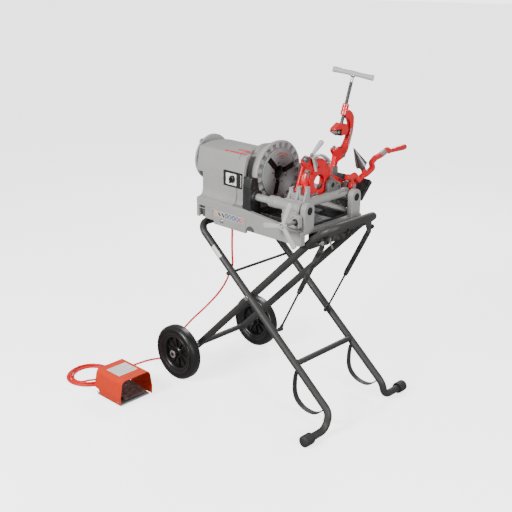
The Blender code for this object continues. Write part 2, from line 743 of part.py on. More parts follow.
def hammer_wheel():
    front = HAMMER_FRONT
    back = -0.1000
    inner = CHUCK_R + 0.0012
    profile = [
        (inner, 0.0), (HAMMER_R - 0.004, 0.0), (HAMMER_R, -0.004), (HAMMER_R - 0.004, -0.0170),
        (0.1285, back - front), (0.0425, back - front), (0.0425, back - front + 0.0110),
        (inner, back - front + 0.0110),
    ]
    ring = turned(profile, (front, 0, SPINDLE_Z), "x", 60)
    part("hammer_wheel", ring, grey_paint("hammer_wheel_paint"))


def rear_disc():
    x = REAR_DISC_X
    profile = [
        (0.047, 0.009), (0.070, 0.009), (REAR_DISC_R - 0.012, 0.004), (REAR_DISC_R, 0.002),
        (REAR_DISC_R, -0.009), (0.047, -0.009),
    ]
    ring = turned(profile, (x, 0, SPINDLE_Z), "x", 40)
    adds = []
    for angle in (128, 248, 8):
        t = math.radians(angle)
        lug_out = Vector((x - 0.012, (REAR_DISC_R - 0.005) * math.cos(t),
                          SPINDLE_Z + (REAR_DISC_R - 0.005) * math.sin(t)))
        adds.append(bar(lug_out, lug_out + Vector((0.010, 0, 0)), 0.0125, 12))
    part("rear_centring_wheel", ring, grey_paint("rear_wheel_paint"), adds)


def rotary_switch():
    plate = block((-0.2290, -0.1650, 0.9270), (-0.1310, -0.1605, 0.9840))
    cut = bar((-0.182, -0.18, 0.957), (-0.182, -0.14, 0.957), 0.0062, 12)
    part("switch_plate", plate, material("switch_plate_plastic", (0.75, 0.75, 0.73), 0.4), [], [cut])
    knob = bar((-0.182, -0.1655, 0.957), (-0.182, -0.1760, 0.957), 0.0160, 18)
    grip = block((-0.1850, -0.1840, 0.9410), (-0.1790, -0.1730, 0.9730))
    shaft = bar((-0.182, -0.167, 0.957), (-0.182, -0.1605, 0.957), 0.0054, 10)
    black = material("switch_knob_plastic", (0.02, 0.02, 0.02), 0.4)
    part("switch_knob", knob, black, [grip, shaft], pivot=(-0.182, -0.1655, 0.957))


# Carriage and feed


def carriage():
    y, z = -RAIL_Y, RAIL_Z
    sleeve = bar((SLEEVE_LEFT, y, z), (SLEEVE_RIGHT, y, z), SLEEVE_R, 24)
    adds = [bar((0.092, -y, z), (SLEEVE_RIGHT, -y, z), 0.0225, 20)]
    adds.append(bar((CROSS_X, y, CROSS_Z), (CROSS_X, -y, CROSS_Z), CROSS_R, 18))
    apron = [(0.128, 0.8370), (0.122, 0.900), (0.1945, 0.900), (0.1945, 0.8345), (0.160, 0.8340)]
    adds.append(prism(apron, -0.1940, -0.1600, "y"))
    plate = [(0.132, 0.8372), (0.128, 0.884), (0.160, 0.896), (0.2190, 0.888), (0.2200, 0.8400),
             (0.200, 0.8342), (0.160, 0.8342)]
    adds.append(prism(plate, -0.2045, -0.1812, "y"))
    crown = [
        (0.094, 0.918), (0.0985, 0.9700), (0.1110, 0.9740), (0.1220, 0.9500), (0.1330, 0.9500),
        (0.1400, 0.9830), (0.1520, 0.9830), (0.1575, 0.9480), (0.1770, 0.9480), (0.1825, 0.9900),
        (0.1930, 0.9860), (0.1950, 0.918),
    ]
    adds.append(prism(crown, -0.1270, -0.1080, "y"))
    adds.append(block((0.094, -0.150, 0.905), (0.195, -0.1100, 0.928)))
    ear = [(RAIL_Y - 0.016, 0.905), (RAIL_Y + 0.010, 0.905)] + arc((TOOL_Y, TOOL_Z), 0.0160, -40, 150, 8)
    adds.append(prism(ear, 0.1540, 0.1720, "x"))
    boss = [(0.030, 0.918), (0.084, 0.918)] + arc((0.057, 0.958), 0.0270, 0, 180, 8)
    adds.append(prism(boss, 0.1560, 0.1750, "x"))
    cuts = [bar((0.0, y, z), (0.21, y, z), RAIL_R + 0.0007, 20)]
    cuts.append(bar((0.0, -y, z), (0.21, -y, z), RAIL_R + 0.0007, 20))
    cuts.append(bar((0.12, TOOL_Y, TOOL_Z), (0.20, TOOL_Y, TOOL_Z), TOOL_R + 0.0006, 16))
    cuts.append(bar((FEED_X, -0.26, FEED_Z), (FEED_X, -0.178, FEED_Z), 0.0072, 14))
    cuts.append(bar((0.10, 0.057, 0.960), (0.25, 0.057, 0.960), 0.0105, 14))
    part("carriage", sleeve, grey_paint("carriage_paint"), adds, cuts)
    shaft = bar((0.048, TOOL_Y, TOOL_Z), (0.2030, TOOL_Y, TOOL_Z), TOOL_R, 16)
    part("tool_shaft", shaft, steel("tool_shaft_steel"))


def feed_handwheel():
    x, z, y = FEED_X, FEED_Z, FEED_HUB_Y
    shaft = bar((x, y, z), (x, -0.1818, z), 0.0066, 12)
    adds = [bar((x, y - 0.008, z), (x, y + 0.010, z), 0.0150, 16)]
    for angle in (70, 190, 310):
        t = math.radians(angle)
        out = Vector((math.cos(t), 0, math.sin(t)))
        hub = Vector((x, y, z))
        adds.append(bar(hub + out * 0.008, hub + out * 0.100, 0.0052, 10, 0.0066))
    part("feed_handwheel", shaft, steel("handwheel_steel"), adds, pivot=(x, y, z))


# Pipe cutter


def cutter():
    x = CUTTER_X
    pivot = (x, TOOL_Y, TOOL_Z)
    arm_outline = arc((TOOL_Y, TOOL_Z), 0.0175, 160, 380, 12)
    arm_outline += [(0.188, 0.985), (0.186, 1.006), (0.152, 1.010), (0.146, 0.985)]
    arm = prism(arm_outline, 0.0560, 0.0980, "x")
    hole = bar((0.0, TOOL_Y, TOOL_Z), (0.2, TOOL_Y, TOOL_Z), TOOL_R + 0.0006, 16)
    slot = block((0.0735, 0.12, 0.974), (0.0965, 0.21, 1.02))
    cast = material("cutter_arm_cast", (0.40, 0.39, 0.38), 0.5, 0.6)
    part("cutter_arm", arm, cast, [], [hole, slot], pivot=pivot)
    frame_outline = [
        (0.1480, 0.9780), (0.1680, 0.9800), (0.1780, 0.9980), (0.1890, 1.0220), (0.2120, 1.0290),
        (0.2300, 1.0360), (0.2520, 1.0620), (0.2670, 1.0950), (0.2805, 1.1370), (0.2850, 1.1720),
        (0.2840, 1.2030), (0.2710, 1.2220), (0.2500, 1.2360), (0.2300, 1.2300), (0.2280, 1.2060),
        (0.2480, 1.1960), (0.2600, 1.1760), (0.2600, 1.1480), (0.2500, 1.1180), (0.2330, 1.0900),
        (0.2150, 1.0760), (0.2000, 1.0780), (0.1860, 1.0840), (0.1560, 1.0840), (0.1530, 1.0700),
        (0.1700, 1.0500), (0.1620, 1.0150),
    ]
    frame = prism(frame_outline, x - 0.0110, x + 0.0110, "x")
    lean = Vector((0, 0.302, 0.953)).normalized()
    foot = Vector((x, 0.2222, 1.2149))
    screw_low = foot - lean * 0.002
    collar = bar(foot - lean * 0.001, foot + lean * 0.047, 0.0148, 18)
    bore = bar(foot - lean * 0.02, foot + lean * 0.08, 0.0098, 14)
    notch = block((x - 0.0035, 0.10, 1.063), (x + 0.0035, 0.1835, 1.10))
    part("cutter_frame", frame, red_paint("cutter_frame_paint"), [collar], [bore, notch], pivot=pivot)
    wheel_at = Vector((x, 0.1680, 1.0805))
    blade = turned([(0, 0.0025), (0.005, 0.0025), (0.0135, 0), (0.005, -0.0025), (0, -0.0025)],
                   wheel_at, "x", 20)
    part("cutter_wheel", blade, steel("cutter_wheel_steel"))
    slide_mid = foot - lean * 0.060
    block_shape = [
        (0.1510, 1.1520), (0.1550, 1.1670), (0.1920, 1.1870), (0.2420, 1.1750), (0.2500, 1.1520),
        (0.2400, 1.1320), (0.1900, 1.1300),
    ]
    slide = prism(block_shape, x - 0.0155, x + 0.0120, "x")
    guard = block((x - 0.0125, 0.120, 1.120), (x + 0.0125, 0.1985, 1.1600))
    slide_bore = bar(screw_low - lean * 0.045, screw_low + lean * 0.05, 0.0090, 14)
    part("cutter_slide", slide, red_paint("cutter_slide_paint"), [], [guard, slide_bore],
         pivot=tuple(slide_mid))
    for number, y, z in ((1, 0.1655, 1.1500), (2, 0.1850, 1.1480)):
        centre = Vector((x, y, z))
        roller = bar(centre - X_AXIS * 0.0120, centre + X_AXIS * 0.0120, 0.0078, 14)
        part(f"cutter_roller_{number}", roller, steel(f"roller_{number}_steel"), pivot=tuple(centre))
    top = foot + lean * 0.176
    grip_way = Vector((0.741, 0.640, -0.203)).normalized() * 0.088
    screw = bar(foot - lean * 0.036, top, 0.0068, 14)
    hub = bar(top - lean * 0.012, top + lean * 0.004, 0.0105, 14)
    grip = bar(top - grip_way, top + grip_way, 0.0100, 12)
    part("cutter_screw", screw, steel("cutter_screw_steel"), [hub, grip], pivot=tuple(top))


# Die head


def die_head():
    left, right = DIE_HEAD_LEFT, DIE_HEAD_RIGHT
    pivot = (0.122, TOOL_Y, TOOL_Z)
    face = right - 0.006
    body = disc(((left + face) / 2, 0, SPINDLE_Z), "x", DIE_HEAD_R, face - left, 40)
    adds = []
    arm = [(0.125, 0.940), (0.055, 0.925), (0.055, 1.000), (0.110, 0.985), (0.155, 0.964)]
    arm += arc((TOOL_Y, TOOL_Z), 0.0175, 90, -60, 9)
    adds.append(prism(arm, left + 0.003, right - 0.012, "x"))
    leg = [
        (-0.040, 1.050), (-0.088, 1.055), (-0.104, 1.010), (-0.1240, 0.9560), (-0.1140, 0.9530),
        (-0.0900, 0.9900), (-0.060, 0.990),
    ]
    adds.append(prism(leg, left + 0.0112, left + 0.0200, "x"))
    adds.append(bar((left + 0.024, -0.0760, 0.985), (0.1690, -0.1170, 0.9560), 0.0088, 6, 0.0042))
    middle = (left + face) / 2
    hoop = [Vector((middle, y, z)) for y, z in arc((0, SPINDLE_Z), 0.116, 108, 42, 8)]
    feet = [Vector((middle, y, z)) for y, z in (arc((0, SPINDLE_Z), 0.088, 116, 34, 1))]
    adds.append(tube(fillet([feet[0]] + hoop + [feet[1]], 0.006, 2), 0.0045, 2))
    cuts = [bar((0, 0, SPINDLE_Z), (0.3, 0, SPINDLE_Z), 0.044, 28)]
    cuts.append(bar((0.0, TOOL_Y, TOOL_Z), (0.3, TOOL_Y, TOOL_Z), TOOL_R + 0.0006, 16))
    for angle in (45, 135, 225, 315):
        slot = block((left + 0.010, -0.0092, 0.03), (left + 0.0260, 0.0092, 0.0820))
        slot.data.transform(
            Matrix.Translation((0, 0, SPINDLE_Z)) @ Matrix.Rotation(math.radians(angle), 4, "X"))
        cuts.append(slot)
    part("die_head_body", body, red_paint("die_head_paint"), adds, cuts, pivot=pivot)
    for number, angle in enumerate((45, 135, 225, 315), 1):
        die = block((left + 0.0106, -0.0086, 0.0290), (left + 0.0254, 0.0086, 0.0660))
        die.data.transform(
            Matrix.Translation((0, 0, SPINDLE_Z)) @ Matrix.Rotation(math.radians(angle), 4, "X"))
        turn = math.radians(angle)
        out = Vector((0, -math.sin(turn), math.cos(turn)))
        part(f"thread_die_{number}", die, steel(f"die_{number}_steel"),
             pivot=tuple(Vector((left, 0, SPINDLE_Z)) + out * 0.04))
    ring_x = right + 0.0010
    ring = turned(
        [(0.047, 0.0), (0.066, 0.0), (0.066, -0.0062), (0.047, -0.0062)],
        (right + 0.0005, 0, SPINDLE_Z), "x", 36)
    lever_root = Vector((ring_x, -0.028, SPINDLE_Z + 0.052))
    lever_mid = Vector((ring_x, -0.056, SPINDLE_Z + 0.122))
    lever_tip = Vector((ring_x, 0.006, SPINDLE_Z + 0.170))
    lever = [bar(lever_root, lever_mid, 0.0048, 10), bar(lever_mid, lever_tip, 0.0060, 10, 0.0090)]
    part("die_head_lever", ring, steel("die_lever_steel"), lever,
         pivot=(ring_x, 0, SPINDLE_Z))


# Reamer


def reamer():
    x = REAMER_X
    pivot = (x, TOOL_Y, TOOL_Z)
    half = 0.008
    route = [
        (0.1280, 0.9840), (0.1580, 0.9775), (0.1810, 0.9840), (0.2075, 0.9560), (0.2388, 0.9713),
        (0.2741, 0.9785), (0.3060, 0.9930), (0.2950, 1.0176), (0.3192, 1.0340), (0.3560, 1.0400),
        (0.4040, 1.0570), (0.4230, 1.0480),
    ]
    arm = tube(fillet([Vector((x, y, z)) for y, z in route], 0.008, 3), half, 2)
    post = bar((x, TOOL_Y, TOOL_Z + 0.010), (x, 0.1600, 0.9780), 0.0090, 10)
    boss = bar((x - 0.009, TOOL_Y, TOOL_Z), (x + 0.009, TOOL_Y, TOOL_Z), 0.0175, 16)
    grip = bar((x, 0.4180, 1.0480), (x, 0.5430, 1.0500), 0.0068, 12, 0.0105)
    hole = bar((x - 0.05, TOOL_Y, TOOL_Z), (x + 0.05, TOOL_Y, TOOL_Z), TOOL_R + 0.0006, 16)
    part("reamer_arm", boss, red_paint("reamer_arm_paint"), [post, arm, grip], [hole], pivot=pivot)
    run = Vector((0, 0.0353, 0.0072)).normalized()
    seat = Vector((x, 0.2565, 0.9749))
    nose = Vector((-0.155, -0.540, 0.827)).normalized()
    nose = (nose - run * nose.dot(run) * 0.25).normalized()
    ring = bar(seat - run * 0.0100, seat + run * 0.0100, 0.0138, 16)
    holder = bar(seat + nose * 0.009, seat + nose * 0.048, 0.0115, 12)
    cone = bar(seat + nose * 0.045, seat + nose * 0.1340, 0.0265, 20, 0.0022)
    clear = bar(seat - run * 0.03, seat + run * 0.03, half + 0.0007, 16)
    part("reamer_cone", cone, steel("reamer_steel"), [holder, ring], [clear], pivot=tuple(seat))


# Foot switch and cord


def switch_section(inset):
    """Half-open arch of the guard in (y, z), drawn inset from the outside."""
    low = 0.0035
    left = [(-0.0870, low), (-0.0890, 0.045), (-0.0790, 0.104), (-0.0740, 0.114), (-0.0660, 0.1210)]
    outline = []
    for y, z in left:
        outline.append((SWITCH_Y + y + inset, z - (inset if z > 0.11 else 0)))
    for y, z in reversed(left):
        outline.append((SWITCH_Y - y - inset, z - (inset if z > 0.11 else 0)))
    return outline


def foot_switch():
    guard = prism(switch_section(0.0), SWITCH_BACK, SWITCH_FRONT, "x")
    hollow = [(y, z if z > 0.01 else -0.02) for y, z in switch_section(0.0028)]
    cuts = [prism(hollow, SWITCH_BACK - 0.01, SWITCH_FRONT + 0.01, "x")]
    notch = [(SWITCH_BACK - 0.01, -0.01), (SWITCH_BACK - 0.01, 0.040), (-0.512, 0.034),
             (-0.500, 0.010), (-0.455, -0.003), (-0.455, -0.01)]
    cuts.append(prism(notch, SWITCH_Y - 0.2, SWITCH_Y + 0.2, "y"))
    orange = material("guard_paint", (0.90, 0.13, 0.04), 0.4)
    part("foot_switch_guard", guard, orange, [], cuts)
    base = block((SWITCH_BACK + 0.006, SWITCH_Y - 0.0800, 0.0), (SWITCH_FRONT - 0.012, SWITCH_Y + 0.0800, 0.010))
    riser = block((SWITCH_BACK + 0.020, SWITCH_Y - 0.045, 0.008), (-0.470, SWITCH_Y + 0.045, 0.031))
    pivots = [block((-0.502, SWITCH_Y + s * 0.066 - 0.003, 0.008), (-0.486, SWITCH_Y + s * 0.066 + 0.003, 0.046))
              for s in (-1, 1)]
    hole = bar((-0.494, SWITCH_Y - 0.08, 0.038), (-0.494, SWITCH_Y + 0.08, 0.038), 0.0034, 12)
    part("foot_switch_base", base, steel("foot_base_steel"), [riser] + pivots, [hole])
    tread = [(-0.500, 0.0420), (-0.3640, 0.0300), (-0.3640, 0.0255), (-0.370, 0.0260), (-0.500, 0.0370)]
    pedal = prism(tread, SWITCH_Y - 0.060, SWITCH_Y + 0.060, "y")
    pin = bar((-0.494, SWITCH_Y - 0.0700, 0.038), (-0.494, SWITCH_Y + 0.0700, 0.038), 0.0029, 10)
    dark = material("pedal_plate", (0.10, 0.07, 0.07), 0.5, 0.4)
    part("foot_pedal", pedal, dark, [pin], pivot=(-0.494, SWITCH_Y, 0.038))


ROUTE = [
    (-0.1610, -0.1860, 0.7510), (-0.1620, -0.1850, 0.7200), (-0.1655, -0.1815, 0.6686),
    (-0.1715, -0.1730, 0.6160), (-0.1804, -0.1630, 0.5762), (-0.2034, -0.1600, 0.5245),
    (-0.2351, -0.1610, 0.4646), (-0.2789, -0.1650, 0.4038), (-0.3415, -0.1720, 0.3323),
    (-0.4018, -0.1860, 0.2665), (-0.4420, -0.2020, 0.2150), (-0.4760, -0.2120, 0.1650),
    (-0.5060, -0.2180, 0.1080), (-0.5340, -0.2200, 0.0550), (-0.5650, -0.2230, 0.0180),
    (-0.6030, -0.2340, 0.0053), (-0.6230, -0.2800, 0.0050), (-0.6300, -0.3350, 0.0050),
    (-0.6360, -0.3900, 0.0050), (-0.6540, -0.4410, 0.0055),
]


def smooth_route(points, count):
    """Evenly spaced points on a Catmull-Rom curve through the route."""
    points = [Vector(p) for p in points]
    ends = [points[0] * 2 - points[1]] + points + [points[-1] * 2 - points[-2]]
    fine = []
    for a, b, c, d in zip(ends, ends[1:], ends[2:], ends[3:]):
        for i in range(20):
            t = i / 20
            fine.append(0.5 * (2 * b + (c - a) * t + (2 * a - 5 * b + 4 * c - d) * t * t
                               + (3 * b - a - 3 * c + d) * t ** 3))
    fine.append(points[-1])
    lengths = [0.0]
    for first, second in zip(fine, fine[1:]):
        lengths.append(lengths[-1] + (second - first).length)
    even = []
    step = 0
    for i in range(count):
        goal = lengths[-1] * i / (count - 1)
        while step < len(fine) - 2 and lengths[step + 1] < goal:
            step += 1
        span = max(lengths[step + 1] - lengths[step], 1e-9)
        even.append(fine[step].lerp(fine[step + 1], (goal - lengths[step]) / span))
    return even


def cord():
    red = material("cord_jacket", (0.75, 0.03, 0.03), 0.5)
    route = smooth_route(ROUTE, 64)
    part("foot_switch_cord", tube(route, CORD_R, 2), red)
    outer, inner, height = 0.1120, 0.0770, 0.0245
    ring = turned([(inner, height), (outer, height), (outer, 0.0), (inner, 0.0)],
                  (COIL_X, COIL_Y, 0.0005), "z", 32)
    part("cord_coil", ring, red)
    gland = turned([(0, 0.0), (0.0085, 0.0), (0.0085, -0.012), (0.0060, -0.036), (0.0046, -0.0605),
                    (0, -0.0605)], (SWITCH_BACK + 0.0185, COIL_Y, 0.0200), "x", 14)
    part("cord_gland", gland, black_rubber("gland_rubber"))


def main():
    start_scene()
    wheel_frame()
    axle()
    wheel("near", WHEEL_NEAR_Y)
    wheel("far", WHEEL_FAR_Y)
    leg_frame()
    foot_cap(-1, "foot_cap_near")
    foot_cap(1, "foot_cap_far")
    gas_spring(-1, "near")
    gas_spring(1, "far")
    base_casting()
    drive_housing()
    chip_pan()
    rails()
    rail_support()
    rear_tray()
    support_cradle()
    mounting_plate()
    clamp_bolt(-0.096, "near")
    clamp_bolt(-0.031, "far")
    motor()
    gears()
    spindle()
    chuck()
    hammer_wheel()
    rear_disc()
    rotary_switch()
    carriage()
    feed_handwheel()
    cutter()
    die_head()
    reamer()
    foot_switch()
    cord()


main()
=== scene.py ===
"""Pipe threading machine on a folding wheel stand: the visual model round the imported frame.

Sizes are in metres in the machine frame: +X along the spindle towards the carriage, +Y away from
the operator, +Z up, floor at z = 0. SHIFT takes the machine frame to the row frame.
"""

import json
import math

import bmesh
import bpy
from mathutils import Matrix, Vector


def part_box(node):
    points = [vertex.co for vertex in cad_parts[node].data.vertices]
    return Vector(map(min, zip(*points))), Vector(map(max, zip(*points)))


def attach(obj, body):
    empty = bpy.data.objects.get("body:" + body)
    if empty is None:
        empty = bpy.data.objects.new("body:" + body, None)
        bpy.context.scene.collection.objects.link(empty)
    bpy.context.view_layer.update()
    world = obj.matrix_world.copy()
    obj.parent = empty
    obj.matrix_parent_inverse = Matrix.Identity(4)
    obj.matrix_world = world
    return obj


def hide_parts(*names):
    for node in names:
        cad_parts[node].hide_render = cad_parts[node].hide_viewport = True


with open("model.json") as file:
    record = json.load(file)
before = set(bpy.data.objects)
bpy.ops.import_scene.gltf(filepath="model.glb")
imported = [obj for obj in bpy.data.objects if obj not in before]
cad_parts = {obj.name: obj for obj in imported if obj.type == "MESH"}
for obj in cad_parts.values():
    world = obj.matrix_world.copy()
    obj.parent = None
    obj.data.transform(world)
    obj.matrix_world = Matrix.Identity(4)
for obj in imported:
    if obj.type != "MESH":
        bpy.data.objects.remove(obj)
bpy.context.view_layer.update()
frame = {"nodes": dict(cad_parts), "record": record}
NODES = frame["nodes"]
JOINTS = {joint["name"]: joint for joint in frame["record"]["behaviour"]["joints"]}


def joint_at(name):
    return Vector(JOINTS[name]["pos_m"])


# Driving sizes, as in the CAD. The spindle joint and the fold joint fix the two frames' offset.
HINGE_H = (0.25, 0.787)
SHIFT = joint_at("stand_fold") - Vector((HINGE_H[0], 0.0, HINGE_H[1]))
SPINDLE_Z = joint_at("spindle_spin").z
WHEEL_R = joint_at("near_wheel_spin").z
AXLE_X = joint_at("near_wheel_spin").x - SHIFT.x
WHEEL_Y = {"near": joint_at("near_wheel_spin").y - SHIFT.y, "far": joint_at("far_wheel_spin").y - SHIFT.y}
TOOL_Y = joint_at("cutter_swing").y - SHIFT.y
TOOL_Z = joint_at("cutter_swing").z
X_AXIS, Y_AXIS, Z_AXIS = Vector((1, 0, 0)), Vector((0, 1, 0)), Vector((0, 0, 1))

TUBE_R = 0.016
AXLE_R = 0.0085
FOLD_P = (-0.0598, 0.4653)
WHEEL_TUBE_Y, LEG_TUBE_Y = 0.15, 0.1835
BEND_B, HANDLE_END = (0.2563, 0.7934), (0.339, 0.853)
LEG_TOP, LEG_LOW = (-0.37, 0.7255), (0.3985, 0.0915)
FOOT_X, FOOT_Z, FOOT_OUT_Y = 0.4007, 0.0247, 0.342
LEG_BAR, LEG_STRUT = (0.2142, 0.2476), (-0.169, 0.549)
GAS_TOP, GAS_FOOT, GAS_Y, GAS_BODY = (0.31, 0.792), (0.0956, 0.357), 0.153, 0.273
BASE_LEFT, BASE_RIGHT, BASE_HALF, BASE_BOTTOM = -0.3696, 0.2266, 0.1975, 0.7633
DECK_Z, RIM_Z = 0.847, 0.8226
HOUSING_LEFT, HOUSING_RIGHT, LIP_RIGHT = -0.4, -0.15, -0.118
HAMMER_R, HAMMER_FRONT, HAMMER_BACK = 0.1385, -0.0714, -0.1
CHUCK_FACE, CHUCK_R, BORE_R = -0.0667, 0.1045, 0.03
RAIL_Y, RAIL_Z, RAIL_R, RAIL_END, POST_LEFT = 0.1506, 0.9025, 0.0155, 0.2308, 0.2045
SWITCH_BACK, SWITCH_FRONT, SWITCH_Y = -0.535, -0.357, -0.5685
JACKET_R, COIL_X, COIL_Y = 0.0044, -0.69, -0.565
JAW_ANGLES, DIE_ANGLES = (135, 15, 255), (45, 135, 225, 315)
SPINDLE = (0, 0, SPINDLE_Z)
TOOL_AXIS, TOOL_BORE = (TOOL_Y, TOOL_Z), 0.0101
KNOB_X, KNOB_Z = -0.182, 0.957
FEED_X, FEED_Z = 0.2027, 0.863
HUB_HALF = 0.0345
CLAMP_Y, CLAMP_Z = (-0.096, -0.031), 0.762
SWITCH_TOP = 0.1211

# The view that matches the photograph, and how bright the studio paper looks to the camera.
CAMERA_PLACE, CAMERA_TURN, LENS_MM = (2.3591, -2.7356, 1.8975), (43.029, 19.506, 1.009), 62.62
FLOOR_GLOW, BACKDROP_GLOW, FLOOR_SIZE, BACKDROP_R = 2.4, 3.0, 30.0, 29.0

# ---------------------------------------------------------------- camera, light and floor


def rotation(azimuth, elevation, roll):
    """Camera axes for a view from azimuth round the object, tipped and rolled, in degrees."""
    a, e, r = (math.radians(v) for v in (azimuth, elevation, roll))
    back = Vector((math.sin(a) * math.cos(e), -math.cos(a) * math.cos(e), math.sin(e)))
    right = Z_AXIS.cross(back).normalized()
    up = back.cross(right)
    across = right * math.cos(r) + up * math.sin(r)
    upward = up * math.cos(r) - right * math.sin(r)
    return Matrix((across, upward, back)).transposed()


def make_camera():
    data = bpy.data.cameras.new("camera")
    data.sensor_width = 36.0
    data.lens = LENS_MM
    camera = bpy.data.objects.new("camera", data)
    bpy.context.scene.collection.objects.link(camera)
    camera.matrix_world = rotation(*CAMERA_TURN).to_4x4()
    camera.location = Vector(CAMERA_PLACE) + SHIFT
    bpy.context.scene.camera = camera


def area_light(name, place, target, size, power):
    data = bpy.data.lights.new(name, "AREA")
    data.shape = "DISK"
    data.size = size
    data.energy = power
    light = bpy.data.objects.new(name, data)
    bpy.context.scene.collection.objects.link(light)
    light.location = place
    light.rotation_euler = (Vector(target) - Vector(place)).to_track_quat("-Z", "Y").to_euler()


def make_studio():
    world = bpy.data.worlds.new("studio")
    bpy.context.scene.world = world
    world.use_nodes = True
    sky = world.node_tree.nodes["Background"]
    sky.inputs["Color"].default_value = (1.0, 1.0, 1.0, 1.0)
    sky.inputs["Strength"].default_value = 0.42
    target = (0.0, 0.0, 0.75)
    area_light("key", (-0.4, -3.4, 2.5), target, 1.1, 200.0)
    area_light("fill", (3.4, -0.8, 1.9), target, 1.2, 105.0)
    area_light("back", (-1.2, 2.6, 2.8), target, 1.4, 75.0)
    floor = bmesh.new()
    bmesh.ops.create_grid(floor, x_segments=1, y_segments=1, size=FLOOR_SIZE)
    stage_piece("floor", floor, FLOOR_GLOW)
    backdrop = bmesh.new()
    bmesh.ops.create_cone(backdrop, segments=96, radius1=BACKDROP_R, radius2=BACKDROP_R, depth=40.0)
    stage_piece("backdrop", backdrop, BACKDROP_GLOW)


def stage_piece(name, bm, glow):
    """White studio paper. Only the camera sees its glow, so it lights nothing."""
    mesh = bpy.data.meshes.new(name)
    bm.to_mesh(mesh)
    bm.free()
    obj = bpy.data.objects.new(name, mesh)
    bpy.context.scene.collection.objects.link(obj)
    mat = bpy.data.materials.new(name + "_paper")
    mat.use_nodes = True
    shader = mat.node_tree.nodes["Principled BSDF"]
    shader.inputs["Base Color"].default_value = (0.93, 0.93, 0.93, 1.0)
    shader.inputs["Roughness"].default_value = 0.9
    shader.inputs["Emission Color"].default_value = (1.0, 1.0, 1.0, 1.0)
    shader.inputs["Emission Strength"].default_value = glow
    obj.data.materials.append(mat)
    obj.visible_diffuse = False
    obj.visible_glossy = False
    obj.visible_shadow = name == "floor"


# ---------------------------------------------------------------- materials


class Nodes:
    """A small hand for building a node material."""

    def __init__(self, name):
        self.mat = bpy.data.materials.new(name)
        self.mat.use_nodes = True
        self.tree = self.mat.node_tree
        self.shader = self.tree.nodes["Principled BSDF"]
        self.place = self.tree.nodes.new("ShaderNodeTexCoord").outputs["Object"]

    def link(self, out, into):
        self.tree.links.new(out, into)

    def stretched(self, scale):
        node = self.tree.nodes.new("ShaderNodeMapping")
        node.inputs["Scale"].default_value = scale
        self.link(self.place, node.inputs["Vector"])
        return node.outputs["Vector"]

    def noise(self, scale, detail=3.0, rough=0.55, vector=None):
        node = self.tree.nodes.new("ShaderNodeTexNoise")
        node.inputs["Scale"].default_value = scale
        node.inputs["Detail"].default_value = detail
        node.inputs["Roughness"].default_value = rough
        self.link(vector or self.place, node.inputs["Vector"])
        return node.outputs["Fac"]

    def ramp(self, value, *stops):
        node = self.tree.nodes.new("ShaderNodeValToRGB")
        ramp = node.color_ramp
        while len(ramp.elements) < len(stops):
            ramp.elements.new(0.5)
        for element, (place, colour) in zip(ramp.elements, stops):
            element.position = place
            element.color = (*colour, 1.0) if len(colour) == 3 else colour
        self.link(value, node.inputs["Fac"])
        return node.outputs["Color"]

    def span(self, value, low, high, out_low, out_high):
        node = self.tree.nodes.new("ShaderNodeMapRange")
        for name, number in zip(("From Min", "From Max", "To Min", "To Max"),
                                (low, high, out_low, out_high)):
            node.inputs[name].default_value = number
        self.link(value, node.inputs["Value"])
        return node.outputs["Result"]

    def mix(self, factor, first, second):
        node = self.tree.nodes.new("ShaderNodeMix")
        node.data_type = "RGBA"
        self.link(factor, node.inputs["Factor"])
        for value, socket in ((first, node.inputs["A"]), (second, node.inputs["B"])):
            if isinstance(value, tuple):
                socket.default_value = (*value, 1.0)
            else:
                self.link(value, socket)
        return node.outputs["Result"]

    def bump(self, height, strength, distance, below=None):
        node = self.tree.nodes.new("ShaderNodeBump")
        node.inputs["Strength"].default_value = strength
        node.inputs["Distance"].default_value = distance
        self.link(height, node.inputs["Height"])
        if below is not None:
            self.link(below, node.inputs["Normal"])
        return node.outputs["Normal"]

    def math(self, kind, first, second=0.0):
        node = self.tree.nodes.new("ShaderNodeMath")
        node.operation = kind
        for value, socket in zip((first, second), node.inputs):
            if isinstance(value, (int, float)):
                socket.default_value = value
            else:
                self.link(value, socket)
        return node.outputs["Value"]

    def edges(self, low=0.53, high=0.62):
        """1 on worn, convex edges, from the shape itself."""
        geometry = self.tree.nodes.new("ShaderNodeNewGeometry")
        return self.span(geometry.outputs["Pointiness"], low, high, 0.0, 1.0)

    def radius(self, centre, axis):
        """Distance from an axis through centre, for lathe marks."""
        shift = self.tree.nodes.new("ShaderNodeVectorMath")
        shift.operation = "SUBTRACT"
        shift.inputs[1].default_value = centre
        self.link(self.place, shift.inputs[0])
        flat = self.tree.nodes.new("ShaderNodeVectorMath")
        flat.operation = "MULTIPLY"
        flat.inputs[1].default_value = tuple(0.0 if i == axis else 1.0 for i in range(3))
        self.link(shift.outputs[0], flat.inputs[0])
        size = self.tree.nodes.new("ShaderNodeVectorMath")
        size.operation = "LENGTH"
        self.link(flat.outputs[0], size.inputs[0])
        return size.outputs["Value"]

    def colour(self, value):
        self.link(value, self.shader.inputs["Base Color"])

    def rough(self, value):
        self.link(value, self.shader.inputs["Roughness"])

    def normal(self, value):
        self.link(value, self.shader.inputs["Normal"])

    def fixed(self, **values):
        for name, number in values.items():
            self.shader.inputs[name.replace("_", " ")].default_value = number


def shade(colour, factor):
    return tuple(min(1.0, c * factor) for c in colour)


